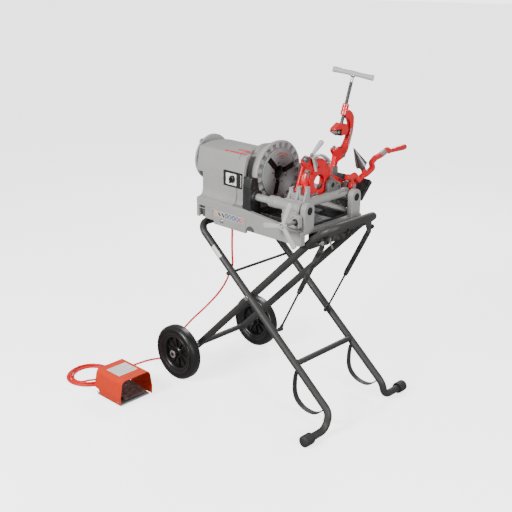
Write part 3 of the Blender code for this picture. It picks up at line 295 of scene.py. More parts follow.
def paint(name, colour, rough=0.35, grain=900.0, depth=0.00012, mottle=0.06, wear=None, coat=0.0,
          dirt=0.12):
    """Sprayed or powder paint: broad mottling, a fine orange-peel grain, and worn edges."""
    n = Nodes(name)
    broad = n.noise(7.0, 4.0)
    base = n.ramp(broad, (0.32, shade(colour, 1 - mottle)), (0.68, shade(colour, 1 + mottle)))
    grime = n.span(n.noise(34.0, 6.0, 0.7), 0.56, 0.78, 0.0, dirt)
    base = n.mix(grime, base, shade(colour, 0.55))
    if wear is not None:
        scuff = n.math("MULTIPLY", n.edges(), n.span(n.noise(60.0, 5.0), 0.45, 0.6, 0.0, 0.75))
        base = n.mix(scuff, base, wear)
    n.colour(base)
    n.rough(n.span(n.noise(45.0, 4.0), 0.3, 0.7, max(0.05, rough - 0.07), rough + 0.09))
    n.normal(n.bump(n.noise(grain, 2.0), 0.35, depth))
    if coat:
        n.fixed(Coat_Weight=coat, Coat_Roughness=0.08)
    return n.mat


def metal(name, colour, rough=0.25, stretch=(1.0, 1.0, 1.0), grain=420.0, depth=0.00006, stain=0.18,
          metallic=1.0):
    """Machined or plated metal: fine directional marks and soft stains."""
    n = Nodes(name)
    marks = n.noise(grain, 3.0, 0.6, n.stretched(stretch))
    cloud = n.noise(18.0, 4.0)
    base = n.ramp(cloud, (0.3, shade(colour, 1 - stain)), (0.7, colour))
    n.colour(base)
    n.rough(n.span(n.math("ADD", marks, cloud), 0.7, 1.3, max(0.04, rough - 0.08), rough + 0.12))
    n.normal(n.bump(marks, 0.3, depth))
    n.fixed(Metallic=metallic)
    return n.mat


def lathed(name, colour, centre, axis=0, rough=0.3, pitch=1500.0, metallic=0.9):
    """A turned face: fine rings round its own axis."""
    n = Nodes(name)
    wave = n.math("SINE", n.math("MULTIPLY", n.radius(centre, axis), pitch))
    cloud = n.noise(22.0, 4.0)
    n.colour(n.ramp(cloud, (0.3, shade(colour, 0.86)), (0.7, colour)))
    n.rough(n.span(cloud, 0.3, 0.7, rough - 0.06, rough + 0.1))
    fine = n.bump(n.noise(700.0, 2.0), 0.15, 0.00005)
    n.normal(n.bump(wave, 0.25, 0.00008, fine))
    n.fixed(Metallic=metallic)
    return n.mat


def rubber(name, colour=(0.018, 0.018, 0.018), rough=0.62):
    n = Nodes(name)
    dust = n.span(n.noise(26.0, 5.0, 0.65), 0.45, 0.75, 0.0, 0.5)
    n.colour(n.mix(dust, colour, shade(colour, 2.2)))
    n.rough(n.span(n.noise(90.0, 4.0), 0.3, 0.7, rough - 0.1, rough + 0.12))
    n.normal(n.bump(n.noise(520.0, 3.0), 0.4, 0.0002))
    return n.mat


def plastic(name, colour, rough=0.35, grain=1100.0, depth=0.00008):
    n = Nodes(name)
    n.colour(n.ramp(n.noise(12.0, 3.0), (0.3, shade(colour, 0.92)), (0.7, shade(colour, 1.05))))
    n.rough(n.span(n.noise(70.0, 3.0), 0.3, 0.7, rough - 0.05, rough + 0.08))
    n.normal(n.bump(n.noise(grain, 2.0), 0.3, depth))
    return n.mat


def casting(name, colour, rough=0.55, metallic=0.5):
    n = Nodes(name)
    lumps = n.noise(140.0, 5.0, 0.6)
    n.colour(n.ramp(n.noise(24.0, 5.0), (0.3, shade(colour, 0.8)), (0.7, shade(colour, 1.12))))
    n.rough(n.span(lumps, 0.3, 0.7, rough - 0.1, rough + 0.1))
    n.normal(n.bump(lumps, 0.45, 0.00035))
    n.fixed(Metallic=metallic)
    return n.mat


MATS = {}


def make_materials():
    spindle = (SHIFT.x, SHIFT.y, SPINDLE_Z)
    silver = (0.4, 0.4, 0.395)
    bare = (0.55, 0.54, 0.52)
    MATS.update(
        grey=paint("light_grey_paint", (0.3, 0.297, 0.289), 0.36, 1000.0, 0.00014, 0.035,
                   (0.4, 0.4, 0.39)),
        # Dark grey: painted shade on notch floors, in recesses and in the handwheel's groove, and the
        # housing's own dark seam line.
        grey_dark=paint("seam_and_painted_shade_grey_paint", (0.075, 0.075, 0.075), 0.5),
        ring=paint("wheel_grey_paint", (0.36, 0.36, 0.355), 0.38, 700.0, 0.00018, 0.05,
                   (0.36, 0.36, 0.36)),
        black=paint("black_powder_paint", (0.014, 0.0135, 0.013), 0.36, 800.0, 0.00022, 0.2,
                    (0.22, 0.22, 0.21)),
        black_tube=paint("black_tube_paint", (0.03, 0.029, 0.028), 0.52, 900.0, 0.00016, 0.1),
        black_cast=paint("black_cast_paint", (0.009, 0.009, 0.009), 0.48, 260.0, 0.0003, 0.2,
                         (0.16, 0.16, 0.16)),
        red=paint("red_gloss_paint", (0.66, 0.0008, 0.009), 0.27, 320.0, 0.00022, 0.08,
                  (0.75, 0.05, 0.04), 0.3),
        # Darker red: painted shade on red parts, on the ratchet teeth, inside the die head's bore and on the
        # reamer's collar.
        red_dark=paint("red_painted_shade_paint", (0.22, 0.002, 0.002), 0.32, 320.0, 0.0002, 0.1, None, 0.3),
        orange=paint("orange_gloss_paint", (0.66, 0.03, 0.0005), 0.34, 900.0, 0.0001, 0.03,
                     (0.88, 0.1, 0.03), 0.15, 0.05),
        chrome=metal("hard_chrome", (0.66, 0.66, 0.66), 0.2, (1.0, 6.0, 6.0), 260.0, metallic=0.6),
        silver=metal("plated_steel", silver, 0.27, metallic=0.75),
        satin=metal("satin_steel", (0.46, 0.46, 0.455), 0.36, (1.0, 1.0, 8.0), metallic=0.7),
        dark_steel=metal("dark_steel", (0.115, 0.115, 0.115), 0.46, (1.0, 8.0, 8.0), metallic=0.7),
        jaw=metal("jaw_steel", (0.06, 0.06, 0.06), 0.42, (6.0, 1.0, 1.0), 300.0, 0.00012),
        chuck=lathed("turned_chuck_face", (0.31, 0.33, 0.332), spindle, 0, 0.46, 1500.0, 0.0),
        turned=lathed("turned_spindle", bare, spindle, 0, 0.3),
        reamer=metal("ground_reamer_steel", (0.22, 0.22, 0.22), 0.4, (2.0, 2.0, 8.0), 300.0),
        cast=casting("bare_casting", (0.17, 0.168, 0.164), 0.5, 0.3),
        handle=paint("silver_handle_paint", (0.46, 0.46, 0.455), 0.3, 300.0, 0.00025, 0.06,
                     (0.5, 0.5, 0.5), 0.2),
        tyre=rubber("tyre_rubber", (0.006, 0.006, 0.006), 0.36),
        rubber=rubber("cap_rubber"),
        knob=plastic("black_knob_plastic", (0.012, 0.012, 0.012), 0.32),
        # Near black set into holes, slots, vents and gaps: painted shade.
        void=plastic("painted_hole_shade_black", (0.006, 0.006, 0.006), 0.7),
        plate=plastic("white_plate_plastic", (0.8, 0.8, 0.78), 0.35),
        label=plastic("white_label_film", (0.72, 0.72, 0.7), 0.42),
        ink=plastic("grey_label_ink", (0.035, 0.035, 0.04), 0.5),
        yellow=plastic("yellow_label_ink", (0.8, 0.34, 0.005), 0.45),
        blue=plastic("blue_label_ink", (0.02, 0.07, 0.33), 0.45),
        cord=plastic("red_cord_jacket", (0.74, 0.006, 0.008), 0.45, 500.0, 0.00008),
        pedal=paint("brown_pedal_paint", (0.085, 0.052, 0.048), 0.38, 500.0, 0.0002, 0.12, (0.3, 0.26, 0.24)),
        rim=plastic("rim_plastic", (0.006, 0.006, 0.006), 0.33, 700.0, 0.0001),
        grey_light=plastic("pale_label_ink", (0.42, 0.42, 0.43), 0.5),
    )


# ---------------------------------------------------------------- shapes


def new_object(name, mesh):
    obj = bpy.data.objects.new(name, mesh)
    bpy.context.scene.collection.objects.link(obj)
    return obj


def from_bmesh(bm, name="shape"):
    bmesh.ops.recalc_face_normals(bm, faces=bm.faces)
    mesh = bpy.data.meshes.new(name)
    bm.to_mesh(mesh)
    bm.free()
    return new_object(name, mesh)


def apply_modifiers(obj):
    """Bakes a shape's modifiers into its mesh."""
    graph = bpy.context.evaluated_depsgraph_get()
    mesh = bpy.data.meshes.new_from_object(obj.evaluated_get(graph))
    obj.modifiers.clear()
    old = obj.data
    obj.data = mesh
    bpy.data.meshes.remove(old)


def bevelled(obj, width, segments=2, angle=40):
    if width > 0:
        mod = obj.modifiers.new("edges", "BEVEL")
        mod.width = width
        mod.segments = segments
        mod.limit_method = "ANGLE"
        mod.angle_limit = math.radians(angle)
        mod.use_clamp_overlap = True
        apply_modifiers(obj)
    return obj


def block(low, high, bevel=0.001, segments=2):
    bm = bmesh.new()
    bmesh.ops.create_cube(bm, size=1.0)
    low, high = Vector(low), Vector(high)
    bmesh.ops.scale(bm, vec=high - low, verts=bm.verts)
    bmesh.ops.translate(bm, vec=(high + low) / 2, verts=bm.verts)
    return bevelled(from_bmesh(bm), bevel, segments)


def bar(start, end, radius, end_radius=None, sides=32, bevel=0.0006):
    start, end = Vector(start), Vector(end)
    run = end - start
    turn = Z_AXIS.rotation_difference(run.normalized()).to_matrix().to_4x4()
    bm = bmesh.new()
    bmesh.ops.create_cone(
        bm, cap_ends=True, segments=sides, radius1=radius,
        radius2=radius if end_radius is None else end_radius, depth=run.length,
        matrix=Matrix.Translation((start + end) / 2) @ turn)
    return bevelled(from_bmesh(bm), bevel)


def spot(axis, flat, along):
    """A point, from its place along an axis and its other two coordinates."""
    return {"x": (along, *flat), "y": (flat[0], along, flat[-1]), "z": (*flat, along)}[axis]


def rod(axis, centre, start, end, *size):
    """A bar along an axis. centre holds its other two coordinates, and size goes to bar."""
    return bar(spot(axis, centre, start), spot(axis, centre, end), *size)


def drill(axis, centre, start, end, radius, sides):
    """A plain round cutter along an axis."""
    return rod(axis, centre, start, end, radius, None, sides, 0)


def stub(place, way, start, end, *size):
    """A bar on the line through place, from start to end along way."""
    return bar(place + way * start, place + way * end, *size)


def mirrored(profile):
    """A profile followed by its own mirror image."""
    return profile + [(radius, -height) for radius, height in reversed(profile)]


def placed(shape, place, turn=None):
    """Turns a shape about the origin, then moves it to its place."""
    shape.data.transform(Matrix.Translation(place) @ (turn or Matrix.Identity(4)))
    return shape


def on_circle(centre, radius, degrees):
    """A point on a circle, in the plane of an outline."""
    t = math.radians(degrees)
    return (centre[0] + radius * math.cos(t), centre[1] + radius * math.sin(t))


def arc(centre, radius, first, last, steps):
    return [on_circle(centre, radius, first + (last - first) * i / steps) for i in range(steps + 1)]


def band(centre, outer, inner, first, last, steps):
    """The outline of a curved strip between two radii."""
    return arc(centre, outer, first, last, steps) + arc(centre, inner, first, last, steps)[::-1]


def softened(outline, radius, steps=4):
    """A closed outline with its corners rounded by radius, or less where it has to be."""
    result = []
    count = len(outline)
    for i in range(count):
        before, corner, after = (Vector(outline[(i + k) % count]) for k in (-1, 0, 1))
        inward, outward = before - corner, after - corner
        if inward.length < 1e-6 or outward.length < 1e-6:
            continue
        half = inward.angle(outward) / 2
        if half > math.radians(86):
            result.append(tuple(corner))
            continue
        reach = min(radius / math.tan(half), inward.length * 0.45, outward.length * 0.45)
        first = corner + inward.normalized() * reach
        last = corner + outward.normalized() * reach
        for k in range(steps + 1):
            t = k / steps
            point = first * (1 - t) ** 2 + corner * 2 * t * (1 - t) + last * t * t
            result.append(tuple(point))
    return result


def prism(outline, low, high, axis, bevel=0.0015, soft=0.0, segments=2):
    """An outline pushed along an axis: outline in (y, z) for x, (x, z) for y, (x, y) for z."""
    if soft:
        outline = softened(outline, soft)
    bm = bmesh.new()
    near = [bm.verts.new(spot(axis, tuple(point), low)) for point in outline]
    far = [bm.verts.new(spot(axis, tuple(point), high)) for point in outline]
    bm.faces.new(near)
    bm.faces.new(far[::-1])
    for i in range(len(outline)):
        j = (i + 1) % len(outline)
        bm.faces.new((near[j], near[i], far[i], far[j]))
    return bevelled(from_bmesh(bm), bevel, segments)


def lathe(profile, place, axis, steps=64, bevel=0.0):
    """A (radius, height) profile turned about an axis through place; a closed ring if no radius is 0."""
    bm = bmesh.new()
    rings = []
    for radius, height in profile:
        if radius < 1e-6:
            rings.append([bm.verts.new(Vector(place) + Vector(spot(axis, (0, 0), height)))])
            continue
        ring = []
        for i in range(steps):
            t = 2 * math.pi * i / steps
            flat = (radius * math.cos(t), radius * math.sin(t))
            ring.append(bm.verts.new(Vector(place) + Vector(spot(axis, flat, height))))
        rings.append(ring)
    pairs = list(zip(rings, rings[1:]))
    if len(rings[0]) > 1 and len(rings[-1]) > 1:
        pairs.append((rings[-1], rings[0]))
    for first, second in pairs:
        for i in range(steps):
            j = (i + 1) % steps
            corners = [first[i % len(first)], first[j % len(first)]]
            corners += [second[j % len(second)], second[i % len(second)]]
            unique = list(dict.fromkeys(corners))
            if len(unique) > 2:
                bm.faces.new(unique)
    return bevelled(from_bmesh(bm), bevel)


def ring(place, axis, outer, inner, low, high, bevel=0.0006, steps=64):
    return lathe([(inner, low), (outer, low), (outer, high), (inner, high)], place, axis, steps, bevel)


def fillet(points, radius, steps=8):
    """A path through straight runs whose corners are rounded."""
    points = [Vector(p) for p in points]
    path = [points[0]]
    for before, corner, after in zip(points, points[1:], points[2:]):
        inward = (before - corner).normalized()
        outward = (after - corner).normalized()
        half = inward.angle(outward) / 2
        reach = min(radius / math.tan(half), (before - corner).length * 0.48,
                    (after - corner).length * 0.48)
        real = reach * math.tan(half)
        centre = corner + (inward + outward).normalized() * (real / math.sin(half))
        first = corner + inward * reach - centre
        last = corner + outward * reach - centre
        for i in range(steps + 1):
            turn = first.normalized().slerp(last.normalized(), i / steps)
            path.append(centre + turn * first.length)
    path.append(points[-1])
    return path


def tube(points, radius, sides=20, bevel=0.0008, radii=None, flat=1.0):
    """A round bar along a path. radii gives each point its own radius; flat squashes it sideways."""
    points = [Vector(p) for p in points]
    bm = bmesh.new()
    up = None
    rings = []
    for i, point in enumerate(points):
        before = points[max(i - 1, 0)]
        after = points[min(i + 1, len(points) - 1)]
        run = (after - before).normalized()
        if up is None:
            seed = X_AXIS if abs(run.x) < 0.6 else Z_AXIS
            up = (seed - run * seed.dot(run)).normalized()
        up = (up - run * up.dot(run)).normalized()
        side = run.cross(up)
        size = radii[i] if radii else radius
        rings.append([
            bm.verts.new(point + up * size * flat * math.cos(2 * math.pi * k / sides)
                         + side * size * math.sin(2 * math.pi * k / sides)) for k in range(sides)])
    for first, second in zip(rings, rings[1:]):
        for k in range(sides):
            j = (k + 1) % sides
            bm.faces.new((first[k], first[j], second[j], second[k]))
    bm.faces.new(rings[0][::-1])
    bm.faces.new(rings[-1])
    return bevelled(from_bmesh(bm), bevel, 2, 60)


def cut(target, *cutters):
    """Takes the cutters away from a shape, and removes them."""
    for cutter in cutters:
        mod = target.modifiers.new("cut", "BOOLEAN")
        mod.operation = "DIFFERENCE"
        mod.solver = "EXACT"
        mod.object = cutter
    apply_modifiers(target)
    for cutter in cutters:
        bpy.data.objects.remove(cutter)
    return target


def turned_about(obj, centre, axis, degrees):
    """Turns a shape about an axis through centre."""
    spin = Matrix.Rotation(math.radians(degrees), 4, axis)
    obj.data.transform(Matrix.Translation(centre) @ spin @ Matrix.Translation(-Vector(centre)))
    return obj


def piece(name, body, groups, replaces=()):
    """Joins shapes into one visible piece. groups is (material name, [shapes]) pairs."""
    bm = bmesh.new()
    mesh = bpy.data.meshes.new(name)
    for index, (mat, shapes) in enumerate(groups):
        mesh.materials.append(MATS[mat])
        for shape in shapes:
            start = len(bm.faces)
            bm.from_mesh(shape.data)
            bm.faces.ensure_lookup_table()
            for face in bm.faces[start:]:
                face.material_index = index
            bpy.data.objects.remove(shape)
    bmesh.ops.translate(bm, vec=SHIFT, verts=bm.verts)
    bmesh.ops.dissolve_degenerate(bm, dist=1e-6, edges=bm.edges)
    for face in bm.faces:
        face.smooth = True
    bm.to_mesh(mesh)
    bm.free()
    mesh.set_sharp_from_angle(angle=math.radians(32))
    obj = new_object(name, mesh)
    normals = obj.modifiers.new("normals", "WEIGHTED_NORMAL")
    normals.keep_sharp = True
    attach(obj, body)
    if replaces:
        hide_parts(*replaces)
    return obj


def at(point, y):
    """A point of the side view, (x, z), at a given y."""
    return (point[0], y, point[1])


def bolt(place, axis, radius, height, sign=1, sides=6):
    """A hexagon head with a round washer under it."""
    way = {"x": X_AXIS, "y": Y_AXIS, "z": Z_AXIS}[axis] * sign
    place = Vector(place)
    return [
        stub(place, way * height, 0, 0.3, radius * 1.45, None, 28, 0.0003),
        bar(place + way * height * 0.2, place + way * height, radius * 1.1, radius * 1.02, sides, 0.0005),
    ]


# ---------------------------------------------------------------- cord

ROUTE = [
    (-0.161, -0.186, 0.751), (-0.162, -0.185, 0.72), (-0.1655, -0.1815, 0.6686),
    (-0.1715, -0.173, 0.616), (-0.1804, -0.163, 0.5762), (-0.2034, -0.16, 0.5245),
    (-0.2351, -0.161, 0.4646), (-0.2789, -0.165, 0.4038), (-0.3415, -0.172, 0.3323),
    (-0.4018, -0.186, 0.2665), (-0.442, -0.202, 0.215), (-0.476, -0.212, 0.165),
    (-0.506, -0.218, 0.108), (-0.534, -0.22, 0.055), (-0.565, -0.223, 0.018),
    (-0.603, -0.234, 0.0053), (-0.623, -0.28, 0.005), (-0.63, -0.335, 0.005),
    (-0.636, -0.39, 0.005), (-0.654, -0.441, 0.0055),
]


def smooth_route(points, count):
    """Evenly spaced points on a Catmull-Rom curve through the route."""
    points = [Vector(p) for p in points]
    ends = [points[0] * 2 - points[1]] + points + [points[-1] * 2 - points[-2]]
    fine, per_span = [], 20
    for a, b, c, d in zip(ends, ends[1:], ends[2:], ends[3:]):
        for i in range(per_span):
            t = i / per_span
            fine.append(0.5 * (2 * b + (c - a) * t + (2 * a - 5 * b + 4 * c - d) * t * t
                               + (3 * b - a - 3 * c + d) * t ** 3))
    fine.append(points[-1])
    lengths = [0.0]
    for first, second in zip(fine, fine[1:]):
        lengths.append(lengths[-1] + (second - first).length)
    route = []
    for i in range(count):
        want = lengths[-1] * i / (count - 1)
        k = next(j for j, length in enumerate(lengths) if length >= want - 1e-9)
        if k == 0:
            route.append(fine[0])
            continue
        share = (want - lengths[k - 1]) / (lengths[k] - lengths[k - 1])
        route.append(fine[k - 1].lerp(fine[k], share))
    return route


# Radius and height of each turn of the coil.
COIL_TURNS = ((0.1065, 0.005), (0.0975, 0.0052), (0.0885, 0.0055), (0.093, 0.013), (0.0797, 0.005))


def coil_route():
    """Loose turns beside and on each other, from the floor run round to the switch's gland."""
    points = []
    first, per_turn, missing_steps = 98.0, 20, 7
    rise, sway = 0.28, 0.0016
    total = len(COIL_TURNS) * per_turn - missing_steps
    for i in range(total + 1):
        turn = i / per_turn
        k = min(int(turn), len(COIL_TURNS) - 1)
        share = max(0.0, min(1.0, (turn - k - 1 + rise) / rise))
        share = share * share * (3 - 2 * share)
        after = COIL_TURNS[min(k + 1, len(COIL_TURNS) - 1)]
        radius = COIL_TURNS[k][0] * (1 - share) + after[0] * share
        height = COIL_TURNS[k][1] * (1 - share) + after[1] * share
        t = math.radians(first + 360.0 * turn)
        wobble = sway * math.sin(3 * t + k * 1.7)
        points.append(Vector((COIL_X + (radius + wobble) * math.cos(t),
                              COIL_Y + (radius + wobble) * math.sin(t), height)))
    return points


def make_cord():
    route = ROUTE + coil_route()
    tip = Vector((SWITCH_BACK + 0.0185 - 0.06, COIL_Y, 0.02))
    for place, height in zip(route[-4:], (0.0065, 0.01, 0.0175, 0.0195)):
        place.z = height
    route += [tip + Vector((-0.0255, -0.0135, 0.0016)), tip + Vector((-0.0135, -0.0028, 0.0018)), tip]
    path = smooth_route(route, 420)
    for place in path:
        place.z = max(place.z, JACKET_R + 0.0002)
    curve = bpy.data.curves.new("red_cord", "CURVE")
    curve.dimensions = "3D"
    curve.bevel_depth = JACKET_R
    curve.bevel_resolution = 4
    curve.use_fill_caps = True
    spline = curve.splines.new("POLY")
    spline.points.add(len(path) - 1)
    for point, place in zip(spline.points, path):
        point.co = (*(place + SHIFT), 1)
    cord = new_object("red_cord", curve)
    curve.materials.append(MATS["cord"])
    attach(cord, "machine")
    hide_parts("foot_switch_cord", "cord_coil")


# ---------------------------------------------------------------- folding stand


def wheel_frame():
    y = WHEEL_TUBE_Y
    foot = Vector((AXLE_X, 0, WHEEL_R))
    along = (Vector(at(BEND_B, 0)) - foot).normalized()
    low = foot - along * 0.021
    half = [low + Vector((0, -y, 0)), at(BEND_B, -y), at(HANDLE_END, -y)]
    other = [at(HANDLE_END, y), at(BEND_B, y), low + Vector((0, y, 0))]
    frame_tube = tube(fillet(half + other, 0.055, 10), TUBE_R, 24, 0.0012)
    adds = [rod("y", (AXLE_X, WHEEL_R), -y, y, 0.0125), rod("y", HINGE_H, -y, y, 0.0095)]
    bright = []
    for side in (-1, 1):
        top = Vector(at(GAS_TOP, side * 0.1335))
        ear = [(0.289, 0.815), (0.3, 0.783), (0.31, 0.779), (0.321, 0.786), (0.323, 0.838)]
        adds.append(prism(ear, side * 0.1365 - 0.003, side * 0.1365 + 0.003, "y", 0.0008, 0.004))
        adds.append(bar(top, top + Vector((0, side * 0.0285, 0)), 0.0048))
        bright += bolt(at(GAS_TOP, side * 0.1625), "y", 0.0062, 0.0048, side)
        cap = Vector(low) + Vector((0, side * y, 0))
        adds.append(stub(cap, along, -0.0025, 0.004, TUBE_R * 0.97, None, 24, 0.0015))
        for reach in (0.008, -0.008):
            seam = Vector(at(HINGE_H, side * (y - TUBE_R * 0.9)))
            adds.append(lathe([(0.0118, -0.002), (0.0135, 0.0), (0.0118, 0.002)],
                              seam + Y_AXIS * reach * 0.2, "y", 24))
    piece("wheel_frame_tubes", "wheel_frame",
          [("black_tube", [frame_tube] + adds), ("silver", bright)], ["wheel_frame"])


def axle():
    near_end, far_end = WHEEL_Y["near"] - HUB_HALF, WHEEL_Y["far"] + HUB_HALF
    shapes = [rod("y", (AXLE_X, WHEEL_R), near_end, far_end, AXLE_R, None, 28, 0.0004)]
    for end, way in ((near_end, -1), (far_end, 1)):
        low, high = sorted((end, end + way * 0.0034))
        shapes.append(lathe([(0, low), (0.0155, low), (0.0175, low + 0.0012), (0.0175, high - 0.0012),
                             (0.0155, high), (0, high)], (AXLE_X, 0, WHEEL_R), "y", 32, 0.0003))
    for side, inner in (("near", -WHEEL_TUBE_Y - TUBE_R - 0.001), ("far", WHEEL_TUBE_Y + TUBE_R + 0.001)):
        hub = WHEEL_Y[side] + (HUB_HALF if side == "near" else -HUB_HALF)
        low, high = sorted((inner, hub))
        shapes.append(rod("y", (AXLE_X, WHEEL_R), low, high, 0.0125, None, 28, 0.0008))
    # Near-black discs on the axle ends: painted shade standing for the bores.
    bore_shade_discs = [rod("y", (AXLE_X, WHEEL_R), end + way * 0.0033, end + way * 0.004, 0.0098, None, 28,
                   0.0002) for end, way in ((near_end, -1), (far_end, 1))]
    piece("axle_rod", "wheel_frame", [("silver", shapes), ("void", bore_shade_discs)], ["axle"])


def wheel(side):
    middle = WHEEL_Y[side]
    place = (AXLE_X, middle, WHEEL_R)
    bore = AXLE_R + 0.0004
    hub = [(bore, 0.034), (0.015, 0.034), (0.0165, 0.0325), (0.018, 0.012), (0.0255, 0.0065)]
    bed = [(0.069, 0.0075), (0.072, 0.016), (0.0775, 0.0205), (0.084, 0.0222), (0.0855, 0.0205)]
    rim = [lathe(mirrored(hub), place, "y", 48, 0.0004), lathe(mirrored(bed), place, "y", 72, 0.0004),
           lathe(mirrored([(0.02, 0.0014), (0.072, 0.0014)]), place, "y", 64)]
    for k in range(10):
        spoke = prism([(0.017, 0.0028), (0.071, 0.0021), (0.071, -0.0021), (0.017, -0.0028)], -0.0085,
                      0.0085, "y", 0.0009, 0.0, 2)
        turned_about(spoke, (0, 0, 0), "Y", 36.0 * k + 9.0)
        rim.append(placed(spoke, place))
    hubs = []
    for way in (1, -1):
        face = [(0.009, 0.0342), (0.0128, 0.0342), (0.0142, 0.033), (0.0142, 0.03), (0.009, 0.03)]
        hubs.append(lathe([(r, h * way) for r, h in face], place, "y", 40, 0.0003))
    piece(f"rim_{side}", f"wheel_{side}",
          [("rim", rim), ("silver", hubs)], [f"wheel_rim_{side}"])
    half = 0.0285
    tread = [
        (0.0862, 0.0212), (0.09, 0.0235), (0.0935, 0.025), (0.0942, 0.0262), (0.0975, 0.0272),
        (0.1006, 0.0278), (0.1016, 0.025), (0.1034, 0.025), (0.1044, half), (0.1088, half),
        (0.1098, 0.0258), (0.1114, 0.0258), (0.1124, 0.0274), (0.117, 0.0262), (0.1212, 0.0228),
        (0.1232, 0.019), (0.125, 0.018), (0.1262, 0.014), (0.1268, 0.009), (WHEEL_R, 0.004),
    ]
    piece(f"tyre_{side}_ring", f"wheel_{side}",
          [("tyre", [lathe(mirrored(tread), place, "y", 96)])], [f"tyre_{side}"])


def leg_frame():
    y = LEG_TUBE_Y
    near = [(FOOT_X, -FOOT_OUT_Y, FOOT_Z), (FOOT_X, -y - 0.022, FOOT_Z), at(LEG_LOW, -y), at(LEG_TOP, -y)]
    far = [(x, -y_near, z) for x, y_near, z in reversed(near)]
    shapes = [tube(fillet(near + far, 0.055, 10), TUBE_R, 24, 0.001)]
    shapes.append(rod("y", LEG_BAR, -y, y, 0.0125))
    shapes.append(rod("y", LEG_STRUT, -0.2035, 0.2035, 0.006))
    bright = []
    for side in (-1, 1):
        inner = WHEEL_TUBE_Y - TUBE_R - 0.004
        shapes.append(rod("y", FOLD_P, side * inner, side * (y + 0.012), 0.0062))
        boss = Vector(at(FOLD_P, side * (y + 0.01)))
        shapes.append(stub(boss, Y_AXIS * side, 0, 0.0065, 0.0135, 0.012, 32, 0.001))
        bright += bolt(at(FOLD_P, side * (y + 0.016)), "y", 0.0078, 0.0068, side)
        stud_end = GAS_Y + 0.0105 + 0.0012
        shapes.append(rod("y", GAS_FOOT, side * (y - 0.005), side * stud_end, 0.0065))
        shapes.append(skid(side))
        for end in (-0.0005, 0.0015):
            shapes.append(rod("y", LEG_STRUT, side * 0.199, side * (0.205 + end), 0.0085, 0.0078))
        weld = at(LEG_BAR, side * (y - TUBE_R * 0.86))
        shapes.append(lathe([(0.0128, -0.0026), (0.015, 0.0), (0.0128, 0.0026)], weld, "y", 28))
    piece("leg_tubes", "leg_frame",
          [("black_tube", shapes), ("silver", bright), ("label", [tube_label()])], ["leg_frame"])


def tube_label():
    """The thin film stuck round the near leg tube."""
    length, half_turn, rows = 0.062, 52, 9
    way = (Vector(at(LEG_LOW, 0)) - Vector(at(LEG_TOP, 0))).normalized()
    normal = Vector((-way.z, 0, way.x))
    face = [-Y_AXIS * c + normal * s for c, s in arc((0, 0), 1, -half_turn, half_turn, rows - 1)]
    start = Vector(at(LEG_TOP, -LEG_TUBE_Y)) + way * 0.128
    bm = bmesh.new()
    grid = [[bm.verts.new(start + way * (length * s / 4) + out * (TUBE_R + 0.0004)) for out in face]
            for s in range(5)]
    for a, b in zip(grid, grid[1:]):
        for k in range(rows - 1):
            bm.faces.new((a[k], a[k + 1], b[k + 1], b[k]))
    sheet = from_bmesh(bm)
    solid = sheet.modifiers.new("film", "SOLIDIFY")
    solid.thickness = 0.0003
    apply_modifiers(sheet)
    return sheet


def skid(side):
    """The flat curved strap under a lower leg, which the folded stand slides on."""
    y = LEG_TUBE_Y
    route = [(0.2215, 0.221), (0.215, 0.198), (0.2115, 0.1597), (0.2145, 0.1166), (0.2319, 0.0853),
             (0.2656, 0.064), (0.3099, 0.0585), (0.342, 0.069), (0.372, 0.096)]
    path = smooth_route([(x, 0, z) for x, z in route], 44)
    outer, inner = [], []
    for before, here, after in zip(path[:1] + path, path, path[1:] + path[-1:]):
        run = (after - before).normalized()
        side_way = Vector((-run.z, 0, run.x)) * 0.0026
        outer.append((here.x + side_way.x, here.z + side_way.z))
        inner.append((here.x - side_way.x, here.z - side_way.z))
    return prism(outer + inner[::-1], side * y - 0.0125, side * y + 0.0125, "y", 0.0009)


def foot_cap(side, label):
    place = (FOOT_X, 0, FOOT_Z)
    end = FOOT_OUT_Y
    profile = [(0, end + 0.006), (0.014, end + 0.0058), (0.02, end + 0.004), (0.0235, end + 0.0008),
               (0.0245, end - 0.003), (0.0245, end - 0.04), (0.0236, end - 0.044), (0.019, end - 0.044),
               (0.0168, end - 0.0425), (0.0165, end - 0.002), (0, end - 0.002)]
    cap = lathe([(r, side * h) for r, h in profile], place, "y", 56, 0.0004)
    piece(f"foot_cap_{label}_shell", "leg_frame",
          [("rubber", [cap])], [f"foot_cap_{label}"])


def gas_spring(side, label):
    y = side * GAS_Y
    top, foot = Vector(at(GAS_TOP, y)), Vector(at(GAS_FOOT, y))
    along = (foot - top).normalized()
    eye = ring(top, "y", 0.0105, 0.0058, -0.0065, 0.0065, 0.0008, 32)
    body = [eye, stub(top, along, 0.007, 0.022, 0.0062, 0.0085),
            stub(top, along, 0.02, GAS_BODY - 0.012, 0.0108, None, 32, 0.0016),
            stub(top, along, GAS_BODY - 0.014, GAS_BODY, 0.0096, 0.0088, 32, 0.0012),
            stub(top, along, GAS_BODY - 0.016, GAS_BODY - 0.0135, 0.0111, None, 32, 0.0004)]
    piece(f"gas_cylinder_{label}_body", f"gas_cylinder_{label}",
          [("black", body)], [f"gas_cylinder_{label}"])
    rod = [bar(foot - along * 0.008, top + along * (GAS_BODY - 0.03), 0.0046, None, 24, 0.0003)]
    socket = [stub(foot, Y_AXIS, -0.0105, 0.0105, 0.0092, None, 28, 0.0016),
              stub(foot, along, -0.026, -0.006, 0.0062, 0.0075, 24, 0.0006)]
    piece(f"gas_rod_{label}_bar", f"gas_rod_{label}",
          [("black_tube", rod), ("black", socket)], [f"gas_rod_{label}"])


# ---------------------------------------------------------------- base and drive


